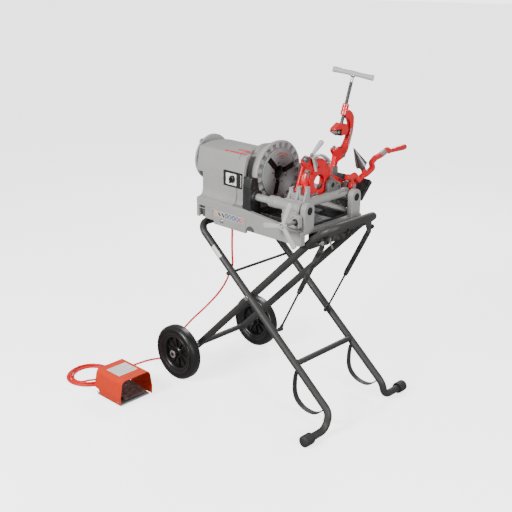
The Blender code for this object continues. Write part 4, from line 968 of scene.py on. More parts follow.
def base_casting():
    bottom, left, right, half = BASE_BOTTOM, BASE_LEFT, BASE_RIGHT, BASE_HALF
    side = [(left, bottom), (left, DECK_Z + 0.0035), (-0.089, DECK_Z + 0.0035), (right, RIM_Z),
            (right, bottom)]
    body = prism(side, -half, half, "y", 0.0045, 0.006, 3)
    inner = [(left + 0.008, bottom - 0.01), (left + 0.008, DECK_Z - 0.008), (-0.142, DECK_Z - 0.008),
             (-0.118, 0.805), (-0.05, 0.805), (-0.05, DECK_Z - 0.016), (right - 0.008, RIM_Z - 0.008),
             (right - 0.008, bottom - 0.01)]
    posts = []
    for y in (-RAIL_Y, RAIL_Y):
        crown = [(y - 0.029, RIM_Z - 0.012), (y + 0.029, RIM_Z - 0.012)]
        crown += arc((y, RAIL_Z + 0.0045), 0.029, 0, 180, 28)
        posts.append(prism(crown, POST_LEFT, RAIL_END, "x", 0.003, 0.0, 3))
    cut(body, prism(inner, -half + 0.008, half - 0.008, "y", 0),
        block((-0.0576, -half + 0.02, 0.797), (right - 0.021, half - 0.02, 0.9), 0.004, 3),
        block((-0.1055, -half + 0.0107, 0.82), (-0.057, half - 0.0107, 0.9), 0),
        block((-0.352, -half - 0.01, 0.74), (-0.264, -half + 0.02, 0.818), 0.004, 3),
        drill("y", (-0.045, bottom), -0.3, -0.18, 0.024, 40),
        block((right - 0.02, -0.17, 0.75), (right + 0.01, 0.17, 0.8065), 0.002),
        block((HOUSING_LEFT + 0.06, -0.04, 0.8), (HOUSING_RIGHT - 0.03, 0.13, 0.9), 0))
    bevelled(body, 0.001, 2, 40)
    bores = [drill("x", (y, RAIL_Z), POST_LEFT - 0.02, RAIL_END + 0.02, RAIL_R + 0.0006, 40)
             for y in (-RAIL_Y, RAIL_Y)]
    for post, bore in zip(posts, bores):
        cut(post, bore)
    panel = block((-0.2595, -half - 0.003, 0.7515), (-0.07, -half + 0.01, 0.815), 0.0022, 3)
    front_lip = prism([(-half + 0.001, 0.8035), (-half - 0.0016, 0.8045), (-half - 0.0016, 0.8065),
                       (-half + 0.001, 0.8075)], left + 0.008, -0.262, "x", 0.0004)
    # Dark grey patches on the back of the recess and behind the drilled hole: painted shade.
    dark = [block((-0.3505, -half + 0.0185, 0.762), (-0.2655, -half + 0.0202, 0.817), 0)]
    dark.append(block((-0.07, -half + 0.0015, 0.764), (-0.021, -half + 0.0065, 0.789), 0))
    # Near-black ovals round the rail ends in the posts: painted shade in the bores.
    rail_bore_shade = []
    for y in (-RAIL_Y, RAIL_Y):
        slot_shape = [(y + 0.0125 * math.cos(t), RAIL_Z + 0.0005 + 0.0165 * math.sin(t))
                      for t in (2 * math.pi * i / 40 for i in range(40))]
        rail_bore_shade.append(prism(slot_shape, RAIL_END - 0.0015, RAIL_END + 0.0012, "x", 0.0006))
    rib = block((-0.324, -half + 0.004, 0.76), (-0.266, -half + 0.0205, 0.819), 0.012, 4)
    cap_head = lathe([(0, -0.0062), (0.0052, -0.0055), (0.0082, -0.0034), (0.0092, 0.0), (0, 0.0)],
                     (-0.2085, -half - 0.003, 0.7735), "y", 32)
    hollow = drill("y", (-0.2085, 0.7735), -half - 0.01, -half - 0.007, 0.003, 6)
    cut(cap_head, hollow)
    piece("base", "machine",
          [("grey", [body, panel, front_lip, *posts, rib]), ("grey_dark", dark), ("void", rail_bore_shade),
           ("silver", [cap_head])], ["base_casting"])
    strip_low, strip_high, y = 0.79, 0.8135, -half - 0.0031
    label = [block((-0.257, y - 0.0002, strip_low - 0.001), (-0.085, y + 0.0004, strip_high), 0)]
    inks = {"yellow": [], "ink": [], "blue": [], "red": []}
    marks = ("yellow", "ink", "ink", "ink", "blue", "ink", "blue", "red")
    for k, ink in enumerate(marks):
        x = -0.2455 + k * 0.0212
        z = (strip_low + strip_high) / 2
        if ink == "yellow":
            shape = prism([(x - 0.0105, z - 0.009), (x + 0.0105, z - 0.009), (x, z + 0.0098)], y - 0.0005,
                          y, "y", 0)
        elif ink == "ink" and k < 3:
            shape = prism([(x - 0.0092, z + 0.0045), (x - 0.003, z + 0.009), (x + 0.0092, z - 0.003),
                           (x + 0.004, z - 0.009)], y - 0.0005, y, "y", 0)
        else:
            shape = ring((x, 0, z), "y", 0.0098, 0.0058, y - 0.0005, y, 0, 28)
        inks[ink].append(shape)
    piece("base_pictograms", "machine",
          [("grey_light", label)] + [(name, shapes) for name, shapes in inks.items()])


def rounded_housing():
    """The housing seen along the spindle, with its shoulders run smooth."""
    foot = DECK_Z + 0.004
    top = [(-0.1655, 0.98), (-0.15, 1.055), (-0.138, 1.064), (-0.075, 1.0735), (0.0, 1.069),
           (0.06, 1.054), (0.105, 1.028), (0.135, 0.985), (0.146, 0.93)]
    curve = smooth_route([(y, 0, z) for y, z in top], 46)
    return [(-0.176, foot), (-0.1665, foot + 0.018)] + [(p.x, p.z) for p in curve] + [(0.148, foot)]


def drive_housing():
    shell = prism(rounded_housing(), HOUSING_LEFT, HOUSING_RIGHT, "x", 0.005, 0.0, 3)
    lip_outline = [(-0.176, DECK_Z + 0.004), (-0.1665, DECK_Z + 0.022), (-0.1655, 0.98), (-0.16, 1.02),
                   (-0.15, 1.055), (-0.138, 1.064), (-0.12, 1.0668), (-0.124, 1.054), (-0.137, 1.044),
                   (-0.148, 1.01), (-0.153, 0.975), (-0.1535, DECK_Z + 0.004)]
    lip = prism(lip_outline, HOUSING_RIGHT - 0.01, LIP_RIGHT, "x", 0.0025, 0.006, 3)
    neck = lathe([(0.046, -0.108), (0.1165, -0.108), (0.119, -0.1105), (0.1188, -0.1185),
                  (0.115, -0.1205), (0.115, -0.124), (0.1172, -0.1262), (0.116, -0.138), (0.111, -0.15),
                  (0.111, -0.161), (0.046, -0.161)], SPINDLE, "x", 96, 0.0003)
    rear = lathe([(0.046, -0.3995), (0.066, -0.3995), (0.062, -0.404), (0.062, -0.442), (0.059, -0.446),
                  (0.046, -0.446)], SPINDLE, "x", 64, 0.0006)
    cut(shell, bar((-0.5, 0, SPINDLE_Z), SPINDLE, 0.045, None, 48, 0),
        block((-0.2355, -0.2, 0.922), (-0.1245, -0.16, 0.989), 0.0025, 2),
        block((HOUSING_LEFT - 0.02, -0.19, 0.83), (-0.362, -0.12, 0.957), 0.003, 2))
    cut(lip, block((-0.2355, -0.2, 0.922), (-0.1245, -0.16, 0.989), 0.0025, 2))
    bevelled(shell, 0.0012, 2, 45)
    deck = DECK_Z + 0.003
    foot = [(-0.16, deck), (-BASE_HALF + 0.006, deck), (-BASE_HALF + 0.006, deck + 0.0022),
            (-0.179, deck + 0.0052), (-0.1712, deck + 0.013), (-0.1672, deck + 0.027),
            (-0.1655, deck + 0.048), (-0.16, deck + 0.048)]
    flare = prism(foot, HOUSING_LEFT + 0.004, HOUSING_RIGHT - 0.01, "x", 0.0012, 0.003, 3)
    cut(flare, block((HOUSING_LEFT - 0.02, -0.3, 0.83), (-0.362, -0.12, 0.957), 0.003, 2))
    seam_x, middle = HOUSING_RIGHT - 0.0045, Vector((-0.01, 0.96))
    big, small = ([tuple(middle + (Vector(p) - middle) * size) for p in rounded_housing()]
                  for size in (1.0035, 0.98))
    seam = prism(big + small[::-1], seam_x - 0.0006, seam_x + 0.0006, "x", 0)
    stripes = []
    outline = [p for p in rounded_housing()[2:-1] if -0.144 < p[0] < -0.101 and p[1] > 1.0]
    third = max(2, len(outline) // 3)
    for low_x, high_x, first in ((-0.225, -0.129, 0), (-0.205, -0.129, -third), (-0.256, -0.234, 0)):
        strip = outline[first:first + third] if first >= 0 else outline[first:]
        over = [(y - 0.0003, z + 0.0007) for y, z in strip]
        stripes.append(prism(over + strip[::-1], low_x, high_x, "x", 0))
    # Near-black sheets lining the recess at the housing's end: painted shade.
    dark = [block((HOUSING_LEFT + 0.0005, -0.121, 0.8515), (-0.3625, -0.1195, 0.9565), 0),
            block((-0.3635, -0.164, 0.8515), (-0.362, -0.12, 0.9565), 0),
            block((HOUSING_LEFT + 0.0005, -0.164, 0.956), (-0.362, -0.12, 0.9575), 0)]
    frame_shape = [(-0.2355, 0.922), (-0.1245, 0.922), (-0.1245, 0.989), (-0.2355, 0.989)]
    surround = prism(softened(frame_shape, 0.004), -0.1664, -0.1606, "y", 0)
    cut(surround, block((-0.23, -0.18, 0.9268), (-0.13, -0.15, 0.9845), 0.003))
    bevelled(surround, 0.0007, 2)
    # Near-black back wall of the switch recess: painted shade.
    recess_shade_wall = block((-0.2345, -0.1608, 0.923), (-0.1255, -0.16, 0.988), 0)
    # The vent slots are filled near black: painted shade inside them.
    vents = []
    for k in range(7):
        z = 0.905 + k * 0.016
        vents.append(block((HOUSING_LEFT - 0.0006, -0.06, z), (HOUSING_LEFT + 0.001, 0.06, z + 0.006),
                           0.0004))
    for k in range(6):
        x = -0.335 + k * 0.026
        vents.append(block((x, 0.144, 0.88), (x + 0.008, 0.1487, 0.928), 0.0006))
    screws = []
    for y, z in ((-0.14, 1.03), (0.075, 1.032), (0.132, 0.87), (-0.1, 0.87)):
        screws += bolt((HOUSING_LEFT, y, z), "x", 0.0052, 0.0042, -1)
    piece("housing", "machine",
          [("grey", [shell, lip, neck, rear, flare]), ("grey_dark", [seam]), ("black", [surround]),
           ("void", dark + vents + [recess_shade_wall]), ("silver", screws), ("red", stripes)], ["drive_housing"])


def switch():
    plate = block((-0.227, -0.165, 0.9285), (-0.133, -0.1612, 0.983), 0.0012, 2)
    cut(plate, drill("y", (KNOB_X, KNOB_Z), -0.18, -0.14, 0.0062, 24))
    marks = []
    for x, z in arc((KNOB_X, KNOB_Z), 0.0205, 55, 125, 2):
        place = Vector((x, -0.1651, z))
        marks.append(block(place - Vector((0.0012, 0.0003, 0.0012)),
                           place + Vector((0.0012, 0.0002, 0.0012)), 0))
    black_side = block((-0.16, -0.1656, 0.9286), (-0.1338, -0.1648, 0.9829), 0.0002)
    # A near-black frame round the plate: painted shade in the gap.
    surround = block((-0.2352, -0.1664, 0.9224), (-0.1248, -0.16, 0.9887), 0.0006)
    cut(surround, block((-0.2215, -0.18, 0.93), (-0.1338, -0.15, 0.98), 0))
    white_lip = block((-0.1338, -0.1668, 0.93), (-0.1312, -0.1612, 0.9815), 0.0006)
    screws = []
    for x in (-0.2225, -0.1375):
        for z in (0.9325, 0.979):
            screws.append(rod("y", (x, z), -0.1662, -0.1645, 0.0019, 0.0022, 16, 0.0003))
    piece("switch_face", "machine",
          [("plate", [plate, white_lip]), ("ink", marks), ("void", [black_side, surround]),
           ("silver", screws)], ["switch_plate"])
    knob = [lathe([(0, -0.1768), (0.012, -0.1768), (0.014, -0.1755), (0.015, -0.17), (0.016, -0.1662),
                   (0.016, -0.1656), (0, -0.1656)], (KNOB_X, 0, KNOB_Z), "y", 48, 0.0003)]
    grip = prism([(-0.0034, -0.015), (0.0034, -0.015), (0.0026, 0.015), (0.0, 0.016), (-0.0026, 0.015)],
                 -0.1838, -0.174, "y", 0.0012, 0.001)
    knob.append(placed(grip, (KNOB_X, 0, KNOB_Z)))
    pointer = block((-0.1826, -0.1841, 0.9625), (-0.1814, -0.1836, 0.9715), 0.0001)
    piece("switch_knob_dial", "switch_knob",
          [("knob", knob), ("plate", [pointer])], ["switch_knob"])


def chip_pan():
    low, high = -0.056, BASE_RIGHT - 0.024
    y = 0.128
    pan = block((low, -y, 0.802), (high, y, 0.832), 0.003, 3)
    cut(pan, block((low + 0.003, -y + 0.003, 0.805), (high - 0.003, y - 0.003, 0.86), 0.004, 3))
    ledge_y = BASE_HALF - 0.021
    ledge = [block((low + 0.0008, start, 0.8165), (high - 0.0008, end, 0.8195), 0.0006) for start,
             end in ((-ledge_y, -y + 0.001), (y - 0.001, ledge_y))]
    ribs = []
    for k in range(8):
        x = low + 0.022 + k * 0.03
        ribs.append(block((x, -y + 0.012, 0.8046), (x + 0.006, y - 0.012, 0.8062), 0.0006))
    screen = []
    for k in range(5):
        x = 0.03 + k * 0.012
        screen.append(block((x, 0.04, 0.821), (x + 0.004, 0.12, 0.8225), 0.0004))
    screen.append(block((0.024, 0.036, 0.8195), (0.086, 0.042, 0.823), 0.0006))
    screen.append(block((0.024, 0.118, 0.8195), (0.086, 0.124, 0.823), 0.0006))
    piece("oil_pan", "machine",
          [("black_cast", [pan, *ledge, *ribs, *screen])], ["chip_pan"])


def rails():
    for name, y in (("rail_front", -RAIL_Y), ("rail_rear", RAIL_Y)):
        rail = rod("x", (y, RAIL_Z), -0.098, RAIL_END - 0.003, RAIL_R, None, 64, 0.0008)
        piece(f"{name}_bar", "machine", [("chrome", [rail])], [name])


def rail_support():
    left, right, low = -0.103, -0.059, 0.8205
    front = [(-0.1862, low), (-0.1862, 0.945), (-0.178, 0.988), (-0.12, 0.974), (-0.12, low)]
    shapes = []
    for side in (1, -1):
        outline = [(y * side, z) for y, z in front]
        column = prism(outline, left, right, "x", 0.0035, 0.012, 3)
        cut(column, drill("x", SPINDLE[1:], left - 0.01, right + 0.01, HAMMER_R + 0.0025, 96),
            drill("x", (-RAIL_Y * side, RAIL_Z), left + 0.002, right + 0.02, RAIL_R + 0.0006, 40))
        bevelled(column, 0.001, 2, 45)
        shapes.append(column)
        shapes.append(ring((0, -RAIL_Y * side, RAIL_Z), "x", 0.03, RAIL_R + 0.0006, right - 0.004,
                           right + 0.0095, 0.003))
    bridge = block((left + 0.001, -0.15, low), (right - 0.001, 0.15, 0.831), 0.002)
    piece("rail_bracket", "machine", [("black_cast", shapes + [bridge])], ["rail_support"])


def rear_tray():
    outline = [(0.2015, 0.845), (0.2015, 0.872), (0.27, 0.952), (0.2735, 0.949), (0.2055, 0.869),
               (0.2055, 0.845)]
    sheet = prism(outline, 0.03, 0.205, "x", 0.001, 0.002)
    adds = []
    for x in (0.03, 0.202):
        cheek = [(0.203, 0.8715), (0.268, 0.95), (0.2735, 0.949), (0.29, 0.936), (0.225, 0.8665)]
        adds.append(prism(cheek, x, x + 0.003, "x", 0.0008, 0.004))
    adds.append(block((0.032, BASE_HALF + 0.0005, 0.828), (0.203, 0.2045, 0.85), 0.0012))
    slope = Vector((0, 0.0685, 0.08)).normalized()
    out = Vector((0, 0.08, -0.0685)).normalized()
    for k in range(7):
        x = 0.05 + k * 0.022
        start = Vector((x, 0.206, 0.872)) + slope * 0.006 + out * 0.0012
        adds.append(stub(start, slope, 0, 0.085, 0.0014, None, 10, 0))
    piece("tray", "machine", [("black_cast", [sheet] + adds)], ["rear_tray"])


def support_cradle():
    x, z = LEG_TOP
    outline = [(x, z + TUBE_R + 0.0012), (x + 0.03, z + TUBE_R + 0.0012), (x + 0.034, z + 0.004),
               (x + 0.04, z + 0.004), (x + 0.04, BASE_BOTTOM - 0.0005),
               (x + 0.0004, BASE_BOTTOM - 0.0005)]
    saddle = prism(outline, -0.12, 0.12, "y", 0.0012)
    top = block((x + 0.012, -0.1, BASE_BOTTOM - 0.004), (x + 0.038, 0.1, 0.8), 0.0012)
    piece("cradle", "machine", [("black", [saddle, top])], ["support_cradle"])


def mounting_plate():
    x, z = HINGE_H
    plate = block((0.2072, -0.128, 0.734), (0.2182, 0.103, 0.8145), 0.0018, 3)
    ears = []
    for y in (-0.118, 0.06):
        ear = [(0.212, z - 0.03), (0.212, z + 0.0185), (x, z + 0.0185)]
        ear += arc((x, z), 0.0185, 80, -90, 16) + [(x - 0.005, z - 0.0185)]
        shape = prism(ear, y, y + 0.008, "y", 0.001)
        ears.append(cut(shape, drill("y", (x, z), -0.2, 0.2, 0.0106, 32)))
    cut(plate, *(drill("x", (y, CLAMP_Z), 0.19, 0.24, 0.0058, 24) for y in CLAMP_Y))
    label = [block((0.2181, -0.083, 0.771), (0.2185, -0.052, 0.8), 0)]
    mark = [ring((0, -0.0675, 0.7855), "x", 0.012, 0.0092, 0.2184, 0.2188, 0, 32)]
    slash = bar((0.2186, -0.0755, 0.7935), (0.2186, -0.0595, 0.7775), 0.0012, None, 8, 0)
    # The slash is squashed flat onto the label.
    slash.data.transform(Matrix.Translation((0.2186, 0, 0)) @ Matrix.Scale(0.12, 4, X_AXIS)
                         @ Matrix.Translation((-0.2186, 0, 0)))
    dot = block((0.2184, -0.071, 0.7805), (0.2187, -0.064, 0.7905), 0)
    rows = [block((0.216, y, 0.742), (0.22, y + 0.006, 0.75), 0.0006) for y in (-0.01, 0.02, 0.05)]
    piece("clamp_plate", "machine",
          [("black", [plate, *ears, *rows]), ("label", label), ("red", mark + [slash]), ("ink", [dot])],
          ["mounting_plate"])


def clamp_bolt(y, label):
    z = CLAMP_Z
    shapes = [rod("x", (y, z), 0.198, 0.244, 0.005),
              rod("x", (y, z), 0.2188, 0.225, 0.009, 0.0084, 32, 0.0008),
              rod("x", (y, z), 0.2405, 0.2445, 0.0072, None, 28, 0.001)]
    grip = tube([Vector((0.241, y - 0.003, z + 0.002)), Vector((0.242, y + 0.005, z - 0.016)),
                 Vector((0.2432, y + 0.013, z - 0.033)), Vector((0.244, y + 0.018, z - 0.044))], 0.004,
                20, 0.0012, [0.0034, 0.0036, 0.004, 0.0043])
    shapes.append(grip)
    piece(f"clamp_lever_{label}", f"clamp_bolt_{label}",
          [("silver", shapes)], [f"clamp_bolt_{label}"])


# ---------------------------------------------------------------- chuck


def radial(shape, degrees):
    """A shape drawn along +Z from the origin in (y, z), moved out round the spindle at an angle."""
    return placed(shape, SPINDLE, Matrix.Rotation(math.radians(degrees - 90), 4, "X"))


def chuck():
    front, back = CHUCK_FACE, HAMMER_FRONT - 0.0095
    profile = [(BORE_R, back), (CHUCK_R, back), (CHUCK_R, front - 0.0016), (CHUCK_R - 0.0016, front),
               (0.099, front), (0.0982, front - 0.0022), (0.0958, front - 0.0022),
               (0.095, front - 0.0004), (0.033, front - 0.0004), (BORE_R, front - 0.003)]
    body = lathe(profile, SPINDLE, "x", 128, 0.0003)
    cuts = [radial(block((front - 0.012, -0.0128, 0.0), (front + 0.01, 0.0128, 0.094), 0), a)
            for a in JAW_ANGLES]
    for middle in (75, 195, 315):
        for spread in (-22.5, 22.5):
            hole = drill("x", (0, 0.0425), front - 0.008, front + 0.004, 0.005, 20)
            cuts.append(radial(hole, middle + spread))
    cut(body, *cuts)
    bevelled(body, 0.0005, 2, 45)
    # A near-black ring on the floor of the jaw slots: painted shade.
    floor = [ring(SPINDLE, "x", 0.0965, BORE_R + 0.0006, front - 0.0122, front - 0.0116, 0)]
    arch = band(SPINDLE[1:], 0.076, 0.064, 63, 92, 12)
    plate = prism(arch, front - 0.0006, front + 0.0004, "x", 0.0003)
    stripe = prism(band(SPINDLE[1:], 0.085, 0.0815, 52, 103, 24), front - 0.0006, front + 0.0002, "x", 0)
    piece("chuck_plate", "spindle",
          [("chuck", [body]), ("void", floor), ("silver", [plate]), ("red", [stripe])], ["chuck_body"])
    for number, angle in enumerate(JAW_ANGLES, 1):
        outline = [(-0.0085, 0.036), (-0.0045, 0.031), (-0.002, 0.033), (0.0, 0.0296), (0.002, 0.033),
                   (0.0045, 0.031), (0.0085, 0.036), (0.0112, 0.0385), (0.0112, 0.0875),
                   (-0.0112, 0.0875), (-0.0112, 0.0385)]
        jaw = [prism(outline, front - 0.011, front - 0.0012, "x", 0.0006)]
        for y in (-0.0075, 0.0, 0.0075):
            rib = block((front - 0.002, y - 0.0022, 0.0345 + abs(y) * 0.5),
                        (front + 0.0012, y + 0.0022, 0.0865), 0.0007)
            jaw.append(rib)
        for shape in jaw:
            radial(shape, angle)
        piece(f"jaw_{number}_block", f"jaw_{number}", [("jaw", jaw)], [f"jaw_{number}"])


def hammer_wheel():
    front, back, inner = HAMMER_FRONT, HAMMER_BACK, CHUCK_R + 0.0012
    profile = [(inner, front - 0.001), (inner + 0.0012, front), (HAMMER_R - 0.006, front),
               (HAMMER_R - 0.002, front - 0.0012), (HAMMER_R - 0.0003, front - 0.0045),
               (HAMMER_R - 0.0012, front - 0.011), (HAMMER_R - 0.0045, front - 0.018),
               (0.1305, back + 0.0018), (0.1275, back), (0.0425, back), (0.0425, back + 0.011),
               (inner, back + 0.011)]
    body = lathe(profile, SPINDLE, "x", 160)
    angles = [18 * k + 14.5 for k in range(20)]
    cuts = []
    for angle in angles:
        low, high = 0.1062, 0.1292
        outline = [(-0.0098, low), (0.0098, low), (0.0112, high), (-0.0112, high)]
        notch = prism(outline, front - 0.012, front + 0.004, "x", 0)
        for vertex in notch.data.vertices:
            if vertex.co.x < front - 0.006:
                vertex.co.y *= 0.7
                vertex.co.z = low + 0.003 if vertex.co.z < 0.12 else high - 0.002
        cuts.append(radial(notch, angle))
    for k in range(0, len(cuts), 5):
        cut(body, *cuts[k:k + 5])
    bevelled(body, 0.0007, 2, 35)
    # Dark grey pads on the floors of the notches: painted shade.
    notch_shade_pads = []
    for angle in angles:
        notch_shade_pad = block((front - 0.0122, -0.0064, 0.1098), (front - 0.0114, 0.0064, 0.1264), 0)
        notch_shade_pads.append(radial(notch_shade_pad, angle))
    piece("hammer_ring", "hammer_wheel",
          [("ring", [body]), ("grey_dark", notch_shade_pads)], ["hammer_wheel"])


def rear_wheel():
    x, outer = -0.471, 0.1035
    profile = [(0.047, x + 0.008), (0.048, x + 0.009), (0.07, x + 0.009), (0.074, x + 0.006),
               (0.088, x + 0.004), (0.0985, x + 0.0036), (outer - 0.0015, x + 0.002), (outer, x),
               (outer, x - 0.0075), (outer - 0.0015, x - 0.009), (0.06, x - 0.009), (0.056, x - 0.0075),
               (0.048, x - 0.0075), (0.047, x - 0.0065)]
    shapes = [lathe(profile, SPINDLE, "x", 128)]
    screws = []
    for angle in (128, 248, 8):
        out = Vector((x - 0.012, *on_circle(SPINDLE[1:], outer - 0.005, angle)))
        shapes.append(bar(out, out + Vector((0.01, 0, 0)), 0.0125, None, 36, 0.0015))
        jaw = block((x - 0.0115, -0.007, 0.05), (x - 0.006, 0.007, 0.09), 0.001)
        shapes.append(radial(jaw, angle))
        screws.append(stub(out, X_AXIS, -0.0004, 0.002, 0.0055, None, 6, 0.0003))
    piece("rear_wheel_ring", "rear_centring_wheel",
          [("ring", shapes), ("dark_steel", screws)], ["rear_centring_wheel"])


def spindle():
    profile = [(BORE_R, -0.0816), (0.041, -0.0816), (0.041, -0.4575), (0.0398, -0.4586), (BORE_R, -0.4586)]
    tube_shape = lathe(profile, SPINDLE, "x", 64, 0.0004)
    piece("spindle_tube", "spindle", [("turned", [tube_shape])], ["spindle"])


def inner_drive():
    """The motor and the gears are inside the housing: the frame's own solids stay, with their materials."""
    for name, mat in (("motor", "cast"), ("drive_gear", "turned"), ("motor_pinion", "silver")):
        for slot_holder in NODES[name].material_slots:
            slot_holder.material = MATS[mat]


# ---------------------------------------------------------------- carriage and feed


def carriage():
    y, z = -RAIL_Y, RAIL_Z
    left, right, sleeve_r = 0.023, 0.1955, 0.025
    bore = RAIL_R + 0.0007
    sleeve = lathe([(bore, left), (sleeve_r - 0.0035, left), (sleeve_r - 0.001, left + 0.003),
                    (sleeve_r - 0.001, left + 0.034), (sleeve_r, left + 0.0365), (sleeve_r, left + 0.04),
                    (sleeve_r - 0.0022, left + 0.044), (sleeve_r - 0.0022, right - 0.042),
                    (sleeve_r, right - 0.039), (sleeve_r, right - 0.002), (sleeve_r - 0.002, right),
                    (bore, right)], (0, y, z), "x", 72, 0.0004)
    rear = lathe([(bore, 0.092), (0.0205, 0.092), (0.0225, 0.094), (0.0225, 0.111), (0.0208, 0.113),
                  (0.0208, 0.176), (0.0225, 0.178), (0.0225, 0.1935), (0.0205, right), (bore, right)],
                 (0, -y, z), "x", 64, 0.0004)
    cross_x, cross_z = 0.173, 0.915
    cross = lathe([(0, y), (0.02, y), (0.02, -0.087), (0.0188, -0.085), (0.0188, 0.004), (0.02, 0.006),
                   (0.02, 0.03), (0.0188, 0.032), (0.0188, 0.118), (0.02, 0.12), (0.02, -y), (0, -y)],
                  (cross_x, 0, cross_z), "y", 64, 0.0004)
    cut(cross, drill("x", (y, z), 0.0, 0.21, bore, 40), drill("x", (-y, z), 0.0, 0.21, bore, 40))
    # Room for the foot of the reamer arm as it swings
    cut(cross, block((0.1765, 0.08, 0.9215), (0.21, 0.14, 0.96), 0.0005))
    apron = [(0.128, 0.837), (0.122, 0.9), (0.1945, 0.9), (0.1945, 0.8345), (0.16, 0.834)]
    skirt = prism(apron, -0.194, -0.16, "y", 0.003, 0.006, 3)
    cut(skirt, drill("x", (y, z), 0.0, 0.21, bore, 40))
    face = [(0.132, 0.8372), (0.128, 0.884), (0.16, 0.896), (0.219, 0.888), (0.22, 0.84), (0.2, 0.8342),
            (0.16, 0.8342)]
    plate = prism(face, -0.2045, -0.1812, "y", 0.003, 0.007, 3)
    cut(plate, drill("y", (FEED_X, FEED_Z), -0.26, -0.178, 0.0072, 32),
        drill("y", (FEED_X + 0.0085, FEED_Z + 0.016), -0.26, -0.195, 0.0022, 20),
        drill("y", (0.1905, 0.88), -0.26, -0.195, 0.003, 20),
        drill("y", (0.18, 0.8725), -0.26, -0.195, 0.0024, 20))
    bevelled(plate, 0.0008, 2, 45)
    # A near-black ring round the feed shaft's hole: painted shade in the boss.
    boss = ring((FEED_X, 0, FEED_Z), "y", 0.0142, 0.0078, -0.2062, -0.204, 0.0008, 40)
    crown_shape = [(0.094, 0.918), (0.0985, 0.97), (0.111, 0.974), (0.122, 0.95), (0.133, 0.95),
                   (0.14, 0.983), (0.152, 0.983), (0.1575, 0.948), (0.177, 0.948), (0.1825, 0.99),
                   (0.193, 0.986), (0.195, 0.918)]
    crown = prism(crown_shape, -0.127, -0.108, "y", 0.0022, 0.004, 3)
    prongs = []
    for low, high, foot, top in ((0.0985, 0.111, 0.93, 0.956), (0.14, 0.152, 0.93, 0.968),
                                 (0.1825, 0.193, 0.93, 0.972)):
        ramp = [(-0.1262, top), (-0.1262, foot), (-0.142, foot - 0.004)]
        prongs.append(prism(ramp, low + 0.0015, high - 0.0015, "x", 0.0012, 0.001))
    web = prism([(0.094, 0.905), (0.094, 0.926), (0.098, 0.93), (0.191, 0.93), (0.195, 0.926),
                 (0.195, 0.905)], -0.15, -0.11, "y", 0.003, 0.0, 3)
    cut(web, drill("x", (y, z), 0.0, 0.21, bore, 40))
    # A near-black strip in the slot: painted shade.
    slot_shade_strip = block((0.16, -0.142, 0.9292), (0.178, -0.1365, 0.9306), 0.0005)
    ear_shape = [(RAIL_Y - 0.016, 0.905), (RAIL_Y + 0.01, 0.905)] + arc(TOOL_AXIS, 0.016, -40, 150, 24)
    ear = prism(ear_shape, 0.154, 0.172, "x", 0.0022)
    cut(ear, drill("x", TOOL_AXIS, 0.12, 0.2, TOOL_BORE, 36), drill("x", (-y, z), 0.0, 0.21, bore, 40))
    pillar_shape = [(0.026, 0.918), (0.088, 0.918), (0.084, 0.94)]
    pillar_shape += arc((0.057, 0.958), 0.027, 0, 180, 24) + [(0.03, 0.94)]
    pillar = prism(pillar_shape, 0.156, 0.175, "x", 0.0026, 0.0, 3)
    cut(pillar, drill("x", (0.057, 0.96), 0.1, 0.25, 0.0105, 36))
    rim = ring((0, 0.057, 0.96), "x", 0.0185, 0.0108, 0.1745, 0.1762, 0.0006, 40)
    # A near-black plug in the pillar's bore: painted shade.
    bore_shade_plug = drill("x", (0.057, 0.96), 0.16, 0.1735, 0.0104, 32)
    lobes = []
    for angle, reach in ((35, 0.0215), (145, 0.0215), (-90, 0.026)):
        middle = Vector((0, *on_circle((0.057, 0.957), reach, angle)))
        lobes.append(stub(middle, X_AXIS, 0.1555, 0.175, 0.0075, 0.0068, 28, 0.0012))
    bolts = []
    for angle in (35, 145):
        place = on_circle((0.057, 0.957), 0.0215, angle)
        bolts.append(rod("x", place, 0.1745, 0.1765, 0.0036, None, 6, 0.0004))
    cheek = prism([(0.086, 0.918), (0.115, 0.918), (0.113, 0.956), (0.106, 0.966), (0.09, 0.964),
                   (0.084, 0.95)], 0.1562, 0.175, "x", 0.003, 0.003, 3)
    cut(cheek, drill("x", (0.099, 0.944), 0.165, 0.2, 0.0062, 28))
    knuckles = [rod("x", (0.03, 0.93), 0.16, 0.1756, 0.0085, 0.0076, 32, 0.0012),
                rod("x", (0.057, 0.986), 0.156, 0.174, 0.009, 0.0082, 32, 0.0014)]
    bolts.append(rod("x", (0.03, 0.93), 0.175, 0.1765, 0.0042, None, 6, 0.0004))
    gusset = prism([(0.092, 0.918), (0.14, 0.918), (0.136, 0.926), (0.1, 0.938)], 0.158, 0.172, "x",
                   0.002, 0.002)
    cap = ring((0, y, z), "x", 0.0205, bore, right - 0.0004, right + 0.0006, 0.0003, 48)
    setscrew = bar((0.04, y - 0.0215, z + 0.011), (0.04, y - 0.019, z + 0.01), 0.0026, None, 20, 0.0003)
    piece("carriage_body", "carriage",
          [("grey", [sleeve, rear, cross, skirt, plate, crown, web, *prongs, gusset]),
           ("cast", [ear, pillar, cheek, *knuckles, *lobes, rim]), ("void", [boss, bore_shade_plug, slot_shade_strip]),
           ("silver", [cap, setscrew, *bolts])], ["carriage"])
    shaft = [rod("x", TOOL_AXIS, 0.048, 0.203, 0.0095, None, 48, 0.0008)]
    piece("tool_shaft_bar", "carriage", [("silver", shaft)], ["tool_shaft"])


